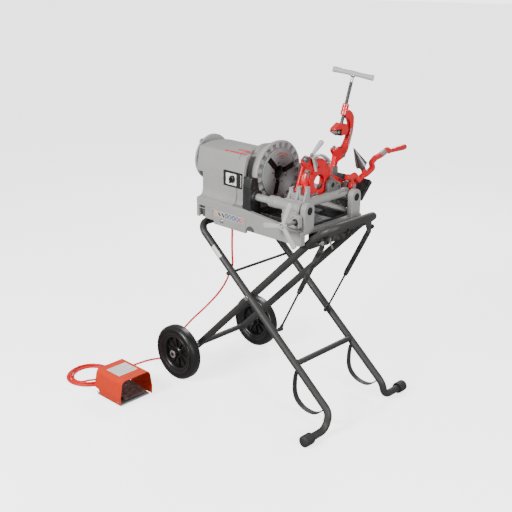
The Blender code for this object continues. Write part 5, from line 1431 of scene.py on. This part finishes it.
def feed_handwheel():
    x, y, z = FEED_X, -0.277, FEED_Z
    hub = [lathe([(0, y - 0.0075), (0.006, y - 0.0075), (0.0066, y - 0.0055), (0.01, y - 0.0055),
                  (0.0108, y - 0.008), (0.0138, y - 0.0078), (0.015, y - 0.006), (0.015, y + 0.0075),
                  (0.013, y + 0.01), (0.009, y + 0.0105), (0, y + 0.0105)], (x, 0, z), "y", 56, 0.0003)]
    shaft = [rod("y", (x, z), y, -0.1818, 0.0066, None, 32, 0.0004),
             rod("y", (x, z), y + 0.011, y + 0.018, 0.0092, None, 32, 0.0006)]
    # A dark grey ring on the floor of the hub's groove: painted shade.
    centre = drill("y", (x, z), y - 0.0064, y - 0.0056, 0.0088, 28)
    spokes = []
    for angle in (70, 190, 310):
        shape = prism([(-0.0075, 0.008), (0.0075, 0.008), (0.0112, 0.09), (0.009, 0.099), (-0.009, 0.099),
                       (-0.0112, 0.09)], y - 0.0066, y + 0.0066, "y", 0.0042, 0.004, 3)
        spokes.append(placed(shape, (x, 0, z), Matrix.Rotation(math.radians(90 - angle), 4, "Y")))
    piece("handwheel", "feed_handwheel",
          [("handle", hub + spokes), ("silver", shaft), ("grey_dark", [centre])], ["feed_handwheel"])


# ---------------------------------------------------------------- pipe cutter


def cutter():
    x = 0.085
    arm_outline = arc(TOOL_AXIS, 0.0175, 160, 380, 36)
    arm_outline += [(0.188, 0.985), (0.186, 1.006), (0.152, 1.01), (0.146, 0.985)]
    box_low, box_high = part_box("cutter_arm")
    low, high = box_low[0] - SHIFT.x, box_high[0] - SHIFT.x
    arm = prism(arm_outline, low, high, "x", 0.0025, 0.0, 3)
    cut(arm, drill("x", TOOL_AXIS, 0.0, 0.2, TOOL_BORE, 36),
        block((0.0735, 0.12, 0.974), (0.0965, 0.21, 1.02), 0))
    pin = [rod("x", (0.172, 0.994), low - 0.0012, high + 0.0012, 0.004, None, 24, 0.0004)]
    cheeks = bolt((high, 0.172, 0.994), "x", 0.0052, 0.0016, 1)
    piece("cutter_hinge_casting", "cutter",
          [("cast", [arm]), ("silver", pin + cheeks)], ["cutter_arm"])
    outline = [
        (0.148, 0.978), (0.168, 0.98), (0.178, 0.998), (0.189, 1.022), (0.212, 1.029),
        (0.23, 1.036), (0.252, 1.062), (0.267, 1.095), (0.2805, 1.137), (0.285, 1.172),
        (0.284, 1.203), (0.271, 1.222), (0.25, 1.236), (0.23, 1.23), (0.228, 1.206),
        (0.248, 1.196), (0.26, 1.176), (0.26, 1.148), (0.25, 1.118), (0.233, 1.09),
        (0.215, 1.076), (0.2, 1.078), (0.186, 1.084), (0.156, 1.084), (0.153, 1.07),
        (0.17, 1.05), (0.162, 1.015),
    ]
    body = prism(outline, x - 0.011, x + 0.011, "x", 0.0024, 0.012, 3)
    lean = Vector((0, 0.302, 0.953)).normalized()
    foot = Vector((x, 0.2222, 1.2149))
    cut(body, stub(foot, lean, -0.02, 0.08, 0.0098, None, 32, 0),
        block((x - 0.0035, 0.1, 1.063), (x + 0.0035, 0.1835, 1.1), 0))
    collar = stub(foot, lean, -0.001, 0.047, 0.0148, 0.0138, 48, 0.0018)
    cut(collar, stub(foot, lean, -0.02, 0.08, 0.0075, None, 32, 0))
    collar_ring = stub(foot, lean, 0.0445, 0.048, 0.0142, 0.012, 40, 0.0008)
    cut(collar_ring, stub(foot, lean, -0.02, 0.08, 0.0075, None, 32, 0))
    flange_points = [(0.244, 1.056), (0.262, 1.1), (0.2745, 1.138), (0.279, 1.172), (0.278, 1.201)]
    rib_path = smooth_route([(0, p[0], p[1]) for p in flange_points], 16)
    ribs = [tube([Vector((x + side * 0.01, p.y, p.z)) for p in rib_path], 0.0024, 12, 0)
            for side in (-1, 1)]
    panel_route = smooth_route([(0, 0.252, 1.085), (0, 0.264, 1.125), (0, 0.268, 1.156)], 12)
    panel_out = [(p.y + 0.0045, p.z) for p in panel_route]
    panel_out += [(p.y - 0.0045, p.z) for p in reversed(panel_route)]
    panels = [prism(panel_out, x + 0.0106, x + 0.0114, "x", 0.0003)]
    # The ratchet teeth are darker red: painted shade.
    ratchet = []
    steps = smooth_route([(0, 0.199, 1.0815), (0, 0.22, 1.079), (0, 0.237, 1.093), (0, 0.25, 1.118),
                          (0, 0.2595, 1.148), (0, 0.26, 1.175)], 15)
    for before, after in zip(steps, steps[1:]):
        run = (after - before).normalized()
        inward = Vector((0, -run.z, run.y))
        if inward.y > 0:
            inward.negate()
        middle = (before + after) / 2 + inward * 0.0006
        tooth = [(middle - run * 0.0036 - inward * 0.003), (middle + run * 0.0036 - inward * 0.003),
                 (middle + run * 0.0018 + inward * 0.0022), (middle - run * 0.0018 + inward * 0.0022)]
        ratchet.append(prism([(p.y, p.z) for p in tooth], x - 0.0085, x + 0.0085, "x", 0.0006))
    nut_place = Vector((x, 0.2265, 1.044))
    nut = [stub(nut_place, X_AXIS, -0.013, 0.013, 0.0068, None, 6, 0.0006),
           stub(nut_place, X_AXIS, -0.0118, 0.0118, 0.0092, None, 32, 0.0004)]
    # A near-black strip in the slot: painted shade.
    frame_slot_shade = [block((x + 0.0104, 0.176, 1.0065), (x + 0.0112, 0.18, 1.019), 0.0002)]
    pin_end = rod("x", (0.168, 1.0805), x - 0.0124, x + 0.0124, 0.004, None, 24, 0.0004)
    piece("cutter_c_frame", "cutter",
          [("red", [body, collar, collar_ring, *ribs]), ("red_dark", ratchet),
           ("silver", nut + [pin_end]), ("satin", panels), ("void", frame_slot_shade)], ["cutter_frame"])
    wheel_at = (x, 0.168, 1.0805)
    blade = lathe([(0.0042, 0.0025), (0.006, 0.0025), (0.0135, 0.0), (0.006, -0.0025), (0.0042, -0.0025)],
                  wheel_at, "x", 64)
    piece("cutter_blade", "cutter_wheel", [("silver", [blade])], ["cutter_wheel"])
    block_shape = [(0.151, 1.152), (0.155, 1.167), (0.192, 1.187), (0.242, 1.175), (0.25, 1.152),
                   (0.24, 1.132), (0.19, 1.13)]
    slide = prism(block_shape, x - 0.0155, x + 0.012, "x", 0.0022, 0.005, 3)
    cut(slide, block((x - 0.0125, 0.12, 1.12), (x + 0.0125, 0.1985, 1.16), 0))
    bevelled(slide, 0.0007, 2, 45)
    rib = prism([(0.199, 1.138), (0.233, 1.138), (0.239, 1.152), (0.233, 1.166), (0.201, 1.172)],
                x + 0.0116, x + 0.0132, "x", 0.0008, 0.003)
    bolts = []
    for y, z in ((0.1655, 1.15), (0.185, 1.148)):
        bolts.append(rod("x", (y, z), x - 0.0166, x - 0.015, 0.0042, None, 24, 0.0004))
    # Near-black strips lining the slot: painted shade.
    slide_slot_shade = [block((x - 0.0125, 0.1965, 1.1312), (x + 0.0119, 0.199, 1.1595), 0),
            block((x - 0.0125, 0.16, 1.1588), (x + 0.0119, 0.198, 1.1604), 0)]
    piece("cutter_slide_block", "cutter_slide",
          [("red", [slide, rib]), ("void", slide_slot_shade), ("silver", bolts)], ["cutter_slide"])
    for number, y, z in ((1, 0.1655, 1.15), (2, 0.185, 1.148)):
        half = [(0, -0.012), (0.0048, -0.012), (0.0052, -0.0112), (0.007, -0.011), (0.0078, -0.01)]
        roller = lathe(mirrored(half), (x, y, z), "x", 40, 0.0002)
        piece(f"roller_{number}", f"cutter_roller_{number}",
              [("silver", [roller])], [f"cutter_roller_{number}"])
    cutter_screw(foot, lean)


def cutter_screw(foot, lean):
    top = foot + lean * 0.176
    grip_way = Vector((0.741, 0.64, -0.203)).normalized()
    turn = Z_AXIS.rotation_difference(lean).to_matrix().to_4x4()
    start, end, pitch = -0.036, 0.142, 0.0032
    profile = [(0, start), (0.006, start)]
    turns = int((end - start) / pitch)
    for k in range(turns):
        h = start + k * pitch
        profile += [(0.0066, h + 0.0004), (0.0076, h + 0.0012), (0.0076, h + 0.002), (0.0066, h + 0.003)]
    profile += [(0.0062, end), (0, end)]
    thread = lathe(profile, (0, 0, 0), "z", 36)
    for vertex in thread.data.vertices:
        twist = math.atan2(vertex.co.y, vertex.co.x) / (2 * math.pi)
        if start + 0.002 < vertex.co.z < end - 0.006:
            vertex.co.z += twist * pitch
    neck = lathe([(0, 0.138), (0.0066, 0.138), (0.0066, 0.158), (0.0074, 0.1605), (0.0104, 0.164),
                  (0.0108, 0.176), (0.0085, 0.18), (0, 0.18)], (0, 0, 0), "z", 40, 0.0003)
    for shape in (thread, neck):
        placed(shape, foot, turn)
    half = 0.088
    left = [(-1.0, 0.009), (-0.985, 0.0118), (-0.95, 0.0126), (-0.8, 0.0124), (-0.6, 0.0114),
            (-0.38, 0.0104), (-0.2, 0.0106), (-0.1, 0.0116)]
    stops = left + [(0.0, 0.0122)] + [(-share, size) for share, size in reversed(left)]
    fine = []
    for (a, ra), (b, rb) in zip(stops, stops[1:]):
        for k in range(4):
            fine.append((a + (b - a) * k / 4, ra + (rb - ra) * k / 4))
    fine.append(stops[-1])
    grip = tube([top + grip_way * half * share for share, _ in fine], 0.01, 32, 0,
                [size for _, size in fine])
    piece("cutter_screw_and_handle", "cutter_screw",
          [("dark_steel", [thread]), ("silver", [neck]), ("handle", [grip])], ["cutter_screw"])


# ---------------------------------------------------------------- die head


def die_head():
    left, right, outer = 0.112, 0.151, 0.096
    face = right - 0.006
    profile = [(0.044, left), (0.084, left), (0.092, left + 0.003), (outer, left + 0.008),
               (outer, face - 0.01), (0.093, face - 0.005), (0.086, face - 0.0012), (0.08, face),
               (0.0745, face), (0.0735, face - 0.0012), (0.07, face - 0.0012), (0.069, face),
               (0.044, face)]
    body = lathe(profile, SPINDLE, "x", 112)
    cuts = [radial(block((left + 0.01, -0.0092, 0.03), (left + 0.026, 0.0092, 0.082), 0), a + 90)
            for a in DIE_ANGLES]
    cut(body, *cuts)
    bevelled(body, 0.0006, 2, 40)
    arm_outline = [(0.125, 0.94), (0.055, 0.925), (0.055, 1.0), (0.11, 0.985), (0.155, 0.964)]
    arm_outline += arc(TOOL_AXIS, 0.0175, 90, -60, 24)
    arm = prism(arm_outline, left + 0.003, right - 0.012, "x", 0.0024, 0.0, 3)
    cut(arm, drill("x", TOOL_AXIS, 0.0, 0.3, TOOL_BORE, 36),
        bar(SPINDLE, (0.3, 0, SPINDLE_Z), 0.0445, None, 64, 0))
    leg = [(-0.04, 1.05), (-0.088, 1.055), (-0.104, 1.01), (-0.124, 0.956), (-0.114, 0.953),
           (-0.09, 0.99), (-0.06, 0.99)]
    fork_back = prism(leg, left + 0.0112, left + 0.02, "x", 0.002, 0.006, 3)
    fork_front = tube(fillet([Vector((left + 0.026, -0.076, 0.99)), Vector((0.16, -0.098, 0.976)),
                              Vector((0.168, -0.116, 0.957))], 0.02, 6), 0.006, 20, 0.0008,
                      [0.0104, 0.0102, 0.0098, 0.0094, 0.0088, 0.008, 0.0072, 0.0062, 0.0052])
    middle = (left + face) / 2
    hoop_points = [Vector((middle, y, z)) for y, z in arc(SPINDLE[1:], 0.108, 108, 42, 24)]
    feet = [Vector((middle, y, z)) for y, z in arc(SPINDLE[1:], 0.088, 116, 34, 1)]
    hoop = tube(fillet([feet[0]] + hoop_points + [feet[1]], 0.006, 3), 0.0062, 20, 0, None, 2.1)
    lines = []
    for radius, first, last in ((0.079, 196, 250), (0.079, 290, 340), (0.0895, 60, 120)):
        path = [Vector((face - 0.0006, y, z)) for y, z in arc(SPINDLE[1:], radius, first, last, 20)]
        lines.append(tube(path, 0.001, 8, 0))
    webs = []
    for angle in (20, 70, 110, 160, 200, 250, 290, 340):
        web = block((left + 0.004, -0.002, 0.09), (face - 0.008, 0.002, 0.0978), 0.001)
        webs.append(radial(web, angle))
    shoulder = radial(prism([(-0.026, 0.06), (0.026, 0.06), (0.018, 0.0925), (-0.018, 0.0925)],
                            face - 0.0045, face + 0.0012, "x", 0.0022, 0.008, 3), 135)
    shoulder_low = radial(prism([(-0.02, 0.062), (0.02, 0.062), (0.013, 0.0905), (-0.013, 0.0905)],
                                face - 0.0045, face + 0.001, "x", 0.002, 0.006, 3), 235)
    clip = prism(band(SPINDLE[1:], 0.0985, 0.0945, 62, 104, 30), left + 0.006, face - 0.01, "x", 0.0008)
    diamonds = []
    for angle, radius in ((17, 0.08), (151, 0.079)):
        shape = prism([(-0.0085, radius), (0, radius - 0.0085), (0.0085, radius), (0, radius + 0.0085)],
                      face - 0.0002, face + 0.0016, "x", 0.0005, 0.001)
        diamonds.append(radial(shape, angle))
    knuckle = radial(prism([(-0.021, 0.08), (0.021, 0.08), (0.018, 0.127), (0.01, 0.134), (-0.016, 0.134),
                            (-0.022, 0.123)], left + 0.006, face - 0.003, "x", 0.003, 0.006, 3), 124)
    knob_place = Vector((face - 0.002, -0.078, SPINDLE_Z + 0.105))
    knob = [stub(knob_place, X_AXIS, -0.012, 0.0075, 0.0125, 0.0115, 40, 0.0014)]
    knob_ring = [ring(Vector((0, knob_place.y, knob_place.z)), "x", 0.014, 0.01, knob_place.x + 0.001,
                      knob_place.x + 0.004, 0.0006, 40)]
    knob_top = [stub(knob_place, X_AXIS, 0.007, 0.0088, 0.0078, 0.0066, 32, 0.0005)]
    second = Vector((face - 0.004, -0.036, SPINDLE_Z + 0.094))
    knob.append(stub(second, X_AXIS, -0.01, 0.003, 0.0105, 0.0096, 36, 0.0012))
    third = Vector((face - 0.002, -0.074, SPINDLE_Z + 0.057))
    knob_ring.append(stub(third, X_AXIS, -0.006, 0.012, 0.0082, 0.0078, 32, 0.001))
    knob_top.append(stub(third, X_AXIS, 0.0115, 0.014, 0.0052, None, 6, 0.0004))
    nut_place = radial(rod("x", (0, 0.086), face - 0.001, face + 0.006, 0.0076, None, 4, 0.0008), 48)
    low_block = radial(block((face - 0.001, -0.012, 0.06), (face + 0.0042, 0.01, 0.074), 0.0014), 215)
    bolt_end = rod("x", (-0.083, SPINDLE_Z - 0.026), face - 0.001, face + 0.0072, 0.006, 0.0052, 28, 0.0007)
    pins = [radial(rod("x", (0, 0.083), face - 0.0004, face + 0.0014, 0.0034, None, 24, 0.0005), a)
            for a in (100, 172, 262, 300, 330)]
    tongue = [block((face + 0.0006, -0.064, SPINDLE_Z - 0.052), (face + 0.015, -0.018, SPINDLE_Z - 0.037),
                    0.0022), rod("x", (-0.04, SPINDLE_Z - 0.0445), face + 0.012, face + 0.0185, 0.0042,
                                 None, 6, 0.0005)]
    # A darker red lining inside the bore: painted shade.
    inside = ring(SPINDLE, "x", 0.0462, 0.0442, left + 0.0005, face - 0.0005, 0)
    piece("die_head_casting", "die_head",
          [("red", [body, arm, fork_back, fork_front, *lines, *webs, knuckle, shoulder, shoulder_low]),
           ("handle", [hoop, clip]), ("silver",
                                      diamonds + knob_ring + [nut_place, low_block, bolt_end, *tongue]
                                      + pins), ("dark_steel", knob + knob_top), ("red_dark", [inside])],
          ["die_head_body"])
    for number, angle in enumerate(DIE_ANGLES, 1):
        die = prism([(-0.0086, 0.035), (-0.004, 0.029), (0.004, 0.029), (0.0086, 0.035), (0.0086, 0.066),
                     (-0.0086, 0.066)], left + 0.0106, left + 0.0254, "x", 0.0005)
        teeth = [block((left + 0.0112 + k * 0.0023, -0.0038, 0.0282),
                       (left + 0.0122 + k * 0.0023, 0.0038, 0.0296), 0.0002) for k in range(6)]
        for shape in [die] + teeth:
            radial(shape, angle + 90)
        piece(f"die_{number}", f"thread_die_{number}",
              [("silver", [die] + teeth)], [f"thread_die_{number}"])
    die_lever(right)


def die_lever(right):
    x = right + 0.001
    cam = lathe([(0.031, x - 0.0067), (0.0655, x - 0.0067), (0.066, x - 0.006), (0.066, x - 0.0015),
                 (0.0645, x - 0.0005), (0.048, x + 0.0012), (0.036, x - 0.0002), (0.031, x - 0.003)],
                SPINDLE, "x", 96)
    scallops = [radial(drill("x", (0, 0.0672), x - 0.01, x + 0.004, 0.0052, 24), a)
                for a in range(20, 380, 40)]
    cut(cam, *scallops)
    bevelled(cam, 0.0005, 2, 45)
    marks = [radial(block((x - 0.0006, -0.0006, 0.056), (x - 0.0001, 0.0006, 0.062), 0), a)
             for a in range(150, 211, 10)]
    root = Vector((x, -0.028, SPINDLE_Z + 0.052))
    mid = Vector((x, -0.056, SPINDLE_Z + 0.122))
    tip = Vector((x, 0.006, SPINDLE_Z + 0.17))
    shank = tube([root, root.lerp(mid, 0.5), mid], 0.005, 24, 0.0005, [0.0058, 0.005, 0.0052])
    stops = [(0.0, 0.0062), (0.12, 0.0072), (0.35, 0.0084), (0.6, 0.0098), (0.82, 0.011), (0.92, 0.0108),
             (0.965, 0.0092), (0.99, 0.0066), (1.0, 0.0034)]
    grip = tube([mid.lerp(tip, share) for share, _ in stops], 0.008, 28, 0, [size for _, size in stops])
    elbow = stub(mid, X_AXIS, -0.0055, 0.0055, 0.0074, None, 32, 0.0008)
    wedge = prism([(-0.042, 1.06), (-0.022, 1.038), (-0.012, 1.05), (-0.034, 1.082)], x - 0.0062,
                  x - 0.0004, "x", 0.0008, 0.003)
    piece("die_lever", "die_head_lever",
          [("red", [cam]), ("ink", marks), ("handle", [shank, grip]), ("silver", [elbow, wedge])],
          ["die_head_lever"])


# ---------------------------------------------------------------- reamer


def reamer():
    x = 0.19
    route = [(0.128, 0.984), (0.158, 0.9775), (0.181, 0.984), (0.2075, 0.956), (0.2388, 0.9713),
             (0.2741, 0.9785), (0.306, 0.993), (0.295, 1.0176), (0.3192, 1.034), (0.356, 1.04),
             (0.404, 1.057), (0.423, 1.048)]
    spots = [Vector((x, y, z)) for y, z in route]
    arm = tube(fillet(spots, 0.005, 3), 0.0126, 8, 0.002)
    post = bar((x, TOOL_Y, TOOL_Z + 0.01), (x, 0.16, 0.978), 0.009, 0.0084, 10, 0.0012)
    boss = rod("x", TOOL_AXIS, x - 0.009, x + 0.009, 0.0175, None, 48, 0.002)
    cut(boss, drill("x", TOOL_AXIS, x - 0.05, x + 0.05, TOOL_BORE, 36))
    nub = bar(spots[0] - Vector((0, 0.003, -0.0005)), spots[0] + Vector((0, 0.01, -0.002)), 0.0082,
              0.0092, 24, 0.002)
    sleeve_start, sleeve_end = spots[9].lerp(spots[10], 0.05), spots[9].lerp(spots[10], 0.62)
    sleeve = bar(sleeve_start, sleeve_end, 0.0132, None, 36, 0.0012)
    stops = [(0.0, 0.008), (0.06, 0.0088), (0.2, 0.0096), (0.55, 0.0112), (0.82, 0.0126), (0.93, 0.0124),
             (0.975, 0.0108), (1.0, 0.0065)]
    first, last = Vector((x, 0.418, 1.048)), Vector((x, 0.543, 1.05))
    grip = tube([first.lerp(last, share) for share, _ in stops], 0.009, 32, 0, [size for _, size in stops])
    # A darker red collar at the foot of the grip: painted shade.
    collar = bar(first - Vector((0, 0.004, 0)), first + Vector((0, 0.004, 0)), 0.0086, None, 32, 0.0008)
    piece("reamer_zigzag_arm", "reamer_arm",
          [("red", [arm, post, boss, grip, nub]), ("satin", [sleeve]), ("red_dark", [collar])],
          ["reamer_arm"])
    run = Vector((0, 0.0353, 0.0072)).normalized()
    seat = Vector((x, 0.2565, 0.9749))
    nose = Vector((-0.155, -0.54, 0.827)).normalized()
    nose = (nose - run * nose.dot(run) * 0.25).normalized()
    socket = stub(seat, run, -0.01, 0.01, 0.0138, None, 40, 0.0012)
    cut(socket, stub(seat, run, -0.03, 0.03, 0.0087, None, 32, 0))
    holder = stub(seat, nose, 0.009, 0.03, 0.0112, 0.0105, 36, 0.001)
    neck = stub(seat, nose, 0.029, 0.046, 0.0115, 0.0115, 36, 0.001)
    turn = Z_AXIS.rotation_difference(nose).to_matrix().to_4x4()
    flutes, rows = 7, 22
    bm = bmesh.new()
    rings = []
    per = flutes * 10
    for r in range(rows + 1):
        share = r / rows
        height = 0.046 + share * (0.134 - 0.046)
        size = 0.0265 + (0.0022 - 0.0265) * share
        loop = []
        for k in range(per):
            phase = (k / 10) % 1.0
            depth = 0.8 + 0.2 * phase if phase > 0.18 else 1.0 - 0.2 * phase / 0.18
            t = 2 * math.pi * k / per + share * 0.25
            loop.append(bm.verts.new((size * depth * math.cos(t), size * depth * math.sin(t), height)))
        rings.append(loop)
    for a, b in zip(rings, rings[1:]):
        for k in range(per):
            j = (k + 1) % per
            bm.faces.new((a[k], a[j], b[j], b[k]))
    bm.faces.new(rings[0][::-1])
    bm.faces.new(rings[-1])
    cone = from_bmesh(bm)
    shoulder = lathe([(0, 0.045), (0.018, 0.045), (0.0228, 0.0458), (0.024, 0.0475), (0.0236, 0.05),
                      (0, 0.05)], (0, 0, 0), "z", 48)
    band = lathe([(0.01, 0.0395), (0.017, 0.0395), (0.0182, 0.041), (0.0182, 0.0445), (0.01, 0.0455)],
                 (0, 0, 0), "z", 40)
    for shape in (cone, shoulder, band):
        placed(shape, seat, turn)
    piece("reamer_fluted_cone", "reamer_cone",
          [("reamer", [cone]), ("dark_steel", [shoulder, band, neck]), ("red", [socket, holder])],
          ["reamer_cone"])


# ---------------------------------------------------------------- foot switch


def switch_section(inset):
    """The guard seen from its open end, moved inwards by inset."""
    left = [(-0.087, 0.0035), (-0.089, 0.045), (-0.079, 0.104), (-0.074, 0.114), (-0.066, 0.121)]
    half = [(y + inset, z - (inset if z > 0.11 else 0)) for y, z in left]
    return [(SWITCH_Y + y, z) for y, z in half] + [(SWITCH_Y - y, z) for y, z in reversed(half)]


def foot_switch():
    guard = prism(softened(switch_section(0.0), 0.012, 5), SWITCH_BACK, SWITCH_FRONT, "x", 0)
    hollow = [(y, z if z > 0.01 else -0.02) for y, z in switch_section(0.0028)]
    notch = [(SWITCH_BACK - 0.01, -0.01), (SWITCH_BACK - 0.01, 0.04), (-0.512, 0.034), (-0.5, 0.01),
             (-0.455, -0.003), (-0.455, -0.01)]
    cut(guard, prism(softened(hollow, 0.01, 5), SWITCH_BACK - 0.01, SWITCH_FRONT + 0.01, "x", 0),
        prism(notch, SWITCH_Y - 0.2, SWITCH_Y + 0.2, "y", 0))
    bevelled(guard, 0.0008, 2, 50)
    rivets = []
    for side in (-1, 1):
        for x in (-0.52, -0.375):
            place = Vector((x, SWITCH_Y + side * 0.0868, 0.02))
            rivets.append(stub(place, Y_AXIS * side, 0, 0.0022, 0.004, 0.003, 24, 0.0005))
    top = SWITCH_TOP
    label = [block((-0.495, SWITCH_Y - 0.052, top - 0.0002), (-0.408, SWITCH_Y + 0.05, top + 0.0004), 0)]
    rows = []
    for k in range(6):
        x = -0.488 + k * 0.0135
        reach = 0.044 if k % 3 else 0.03
        rows.append(block((x, SWITCH_Y - 0.044, top + 0.0002),
                          (x + 0.0034, SWITCH_Y - 0.044 + reach * 2, top + 0.0006), 0))
    piece("guard", "machine",
          [("orange", [guard]), ("silver", rivets), ("label", label), ("grey_light", rows)],
          ["foot_switch_guard"])
    base = block((SWITCH_BACK + 0.006, SWITCH_Y - 0.08, 0.0),
                 (SWITCH_FRONT - 0.012, SWITCH_Y + 0.08, 0.01), 0.0022)
    riser = block((SWITCH_BACK + 0.02, SWITCH_Y - 0.045, 0.008), (-0.47, SWITCH_Y + 0.045, 0.031), 0.0024)
    pivots = [prism([(-0.502, 0.008), (-0.486, 0.008), (-0.486, 0.04), (-0.49, 0.046), (-0.498, 0.046),
                     (-0.502, 0.04)], SWITCH_Y + s * 0.066 - 0.003, SWITCH_Y + s * 0.066 + 0.003, "y",
                    0.0006) for s in (-1, 1)]
    feet = [rod("z", (x, SWITCH_Y + s * 0.066), 0.0098, 0.0128, 0.0052, None, 6, 0.0004)
            for x in (-0.512, -0.384) for s in (-1, 1)]
    turns, per_turn, height = 6, 16, 0.0165
    coil = [Vector((*on_circle((-0.43, SWITCH_Y), 0.0055, 360 * i / per_turn),
                    0.0105 + height * i / (turns * per_turn))) for i in range(turns * per_turn + 1)]
    spring = [tube(coil, 0.0009, 8, 0)]
    piece("switch_base", "machine",
          [("satin", [base, *pivots]), ("cast", [riser]), ("silver", feet + spring)],
          ["foot_switch_base"])
    tread = [(-0.5, 0.042), (-0.364, 0.03), (-0.364, 0.0255), (-0.37, 0.026), (-0.5, 0.037)]
    pedal = [prism(tread, SWITCH_Y - 0.06, SWITCH_Y + 0.06, "y", 0.001)]
    slope = (0.042 - 0.03) / (0.5 - 0.364)
    stud_x = -0.452
    stud_z = 0.042 - (stud_x + 0.5) * slope
    studs = [lathe([(0, 0.0026), (0.003, 0.0022), (0.0048, 0.0004), (0.0052, -0.0006), (0, -0.0006)],
                   (stud_x, SWITCH_Y + y, stud_z), "z", 28) for y in (-0.016, 0.016)]
    for k in range(9):
        x = -0.442 + k * 0.0085
        z = 0.042 - (x + 0.5) * slope
        pedal.append(block((x, SWITCH_Y - 0.052, z - 0.001), (x + 0.0028, SWITCH_Y + 0.052, z + 0.0008),
                           0.0004))
    pin = rod("y", (-0.494, 0.038), SWITCH_Y - 0.07, SWITCH_Y + 0.07, 0.0029, None, 24, 0.0003)
    piece("pedal", "foot_pedal",
          [("pedal", pedal), ("silver", studs + [pin])], ["foot_pedal"])
    x = SWITCH_BACK + 0.0185
    profile = [(0, 0.0), (0.0085, 0.0), (0.0085, -0.011), (0.0074, -0.013)]
    for k in range(7):
        h = -0.015 - k * 0.0058
        size = 0.0072 - k * 0.00036
        profile += [(size, h), (size, h - 0.0032), (size - 0.0014, h - 0.0036), (size - 0.0014, h - 0.0054)]
    profile += [(0.0047, -0.0575), (0.0046, -0.06), (0.0043, -0.0605), (0, -0.0605)]
    gland = lathe([(r, x + h) for r, h in profile], (0, COIL_Y, 0.02), "x", 36)
    piece("cord_strain_relief", "machine", [("rubber", [gland])], ["cord_gland"])


def build():
    make_materials()
    make_camera()
    make_cord()
    make_studio()
    wheel_frame()
    axle()
    wheel("near")
    wheel("far")
    leg_frame()
    for make in (foot_cap, gas_spring):
        make(-1, "near")
        make(1, "far")
    base_casting()
    drive_housing()
    switch()
    chip_pan()
    rails()
    rail_support()
    rear_tray()
    support_cradle()
    mounting_plate()
    for y, side in zip(CLAMP_Y, ("near", "far")):
        clamp_bolt(y, side)
    chuck()
    hammer_wheel()
    rear_wheel()
    spindle()
    inner_drive()
    carriage()
    feed_handwheel()
    cutter()
    die_head()
    reamer()
    foot_switch()


build()
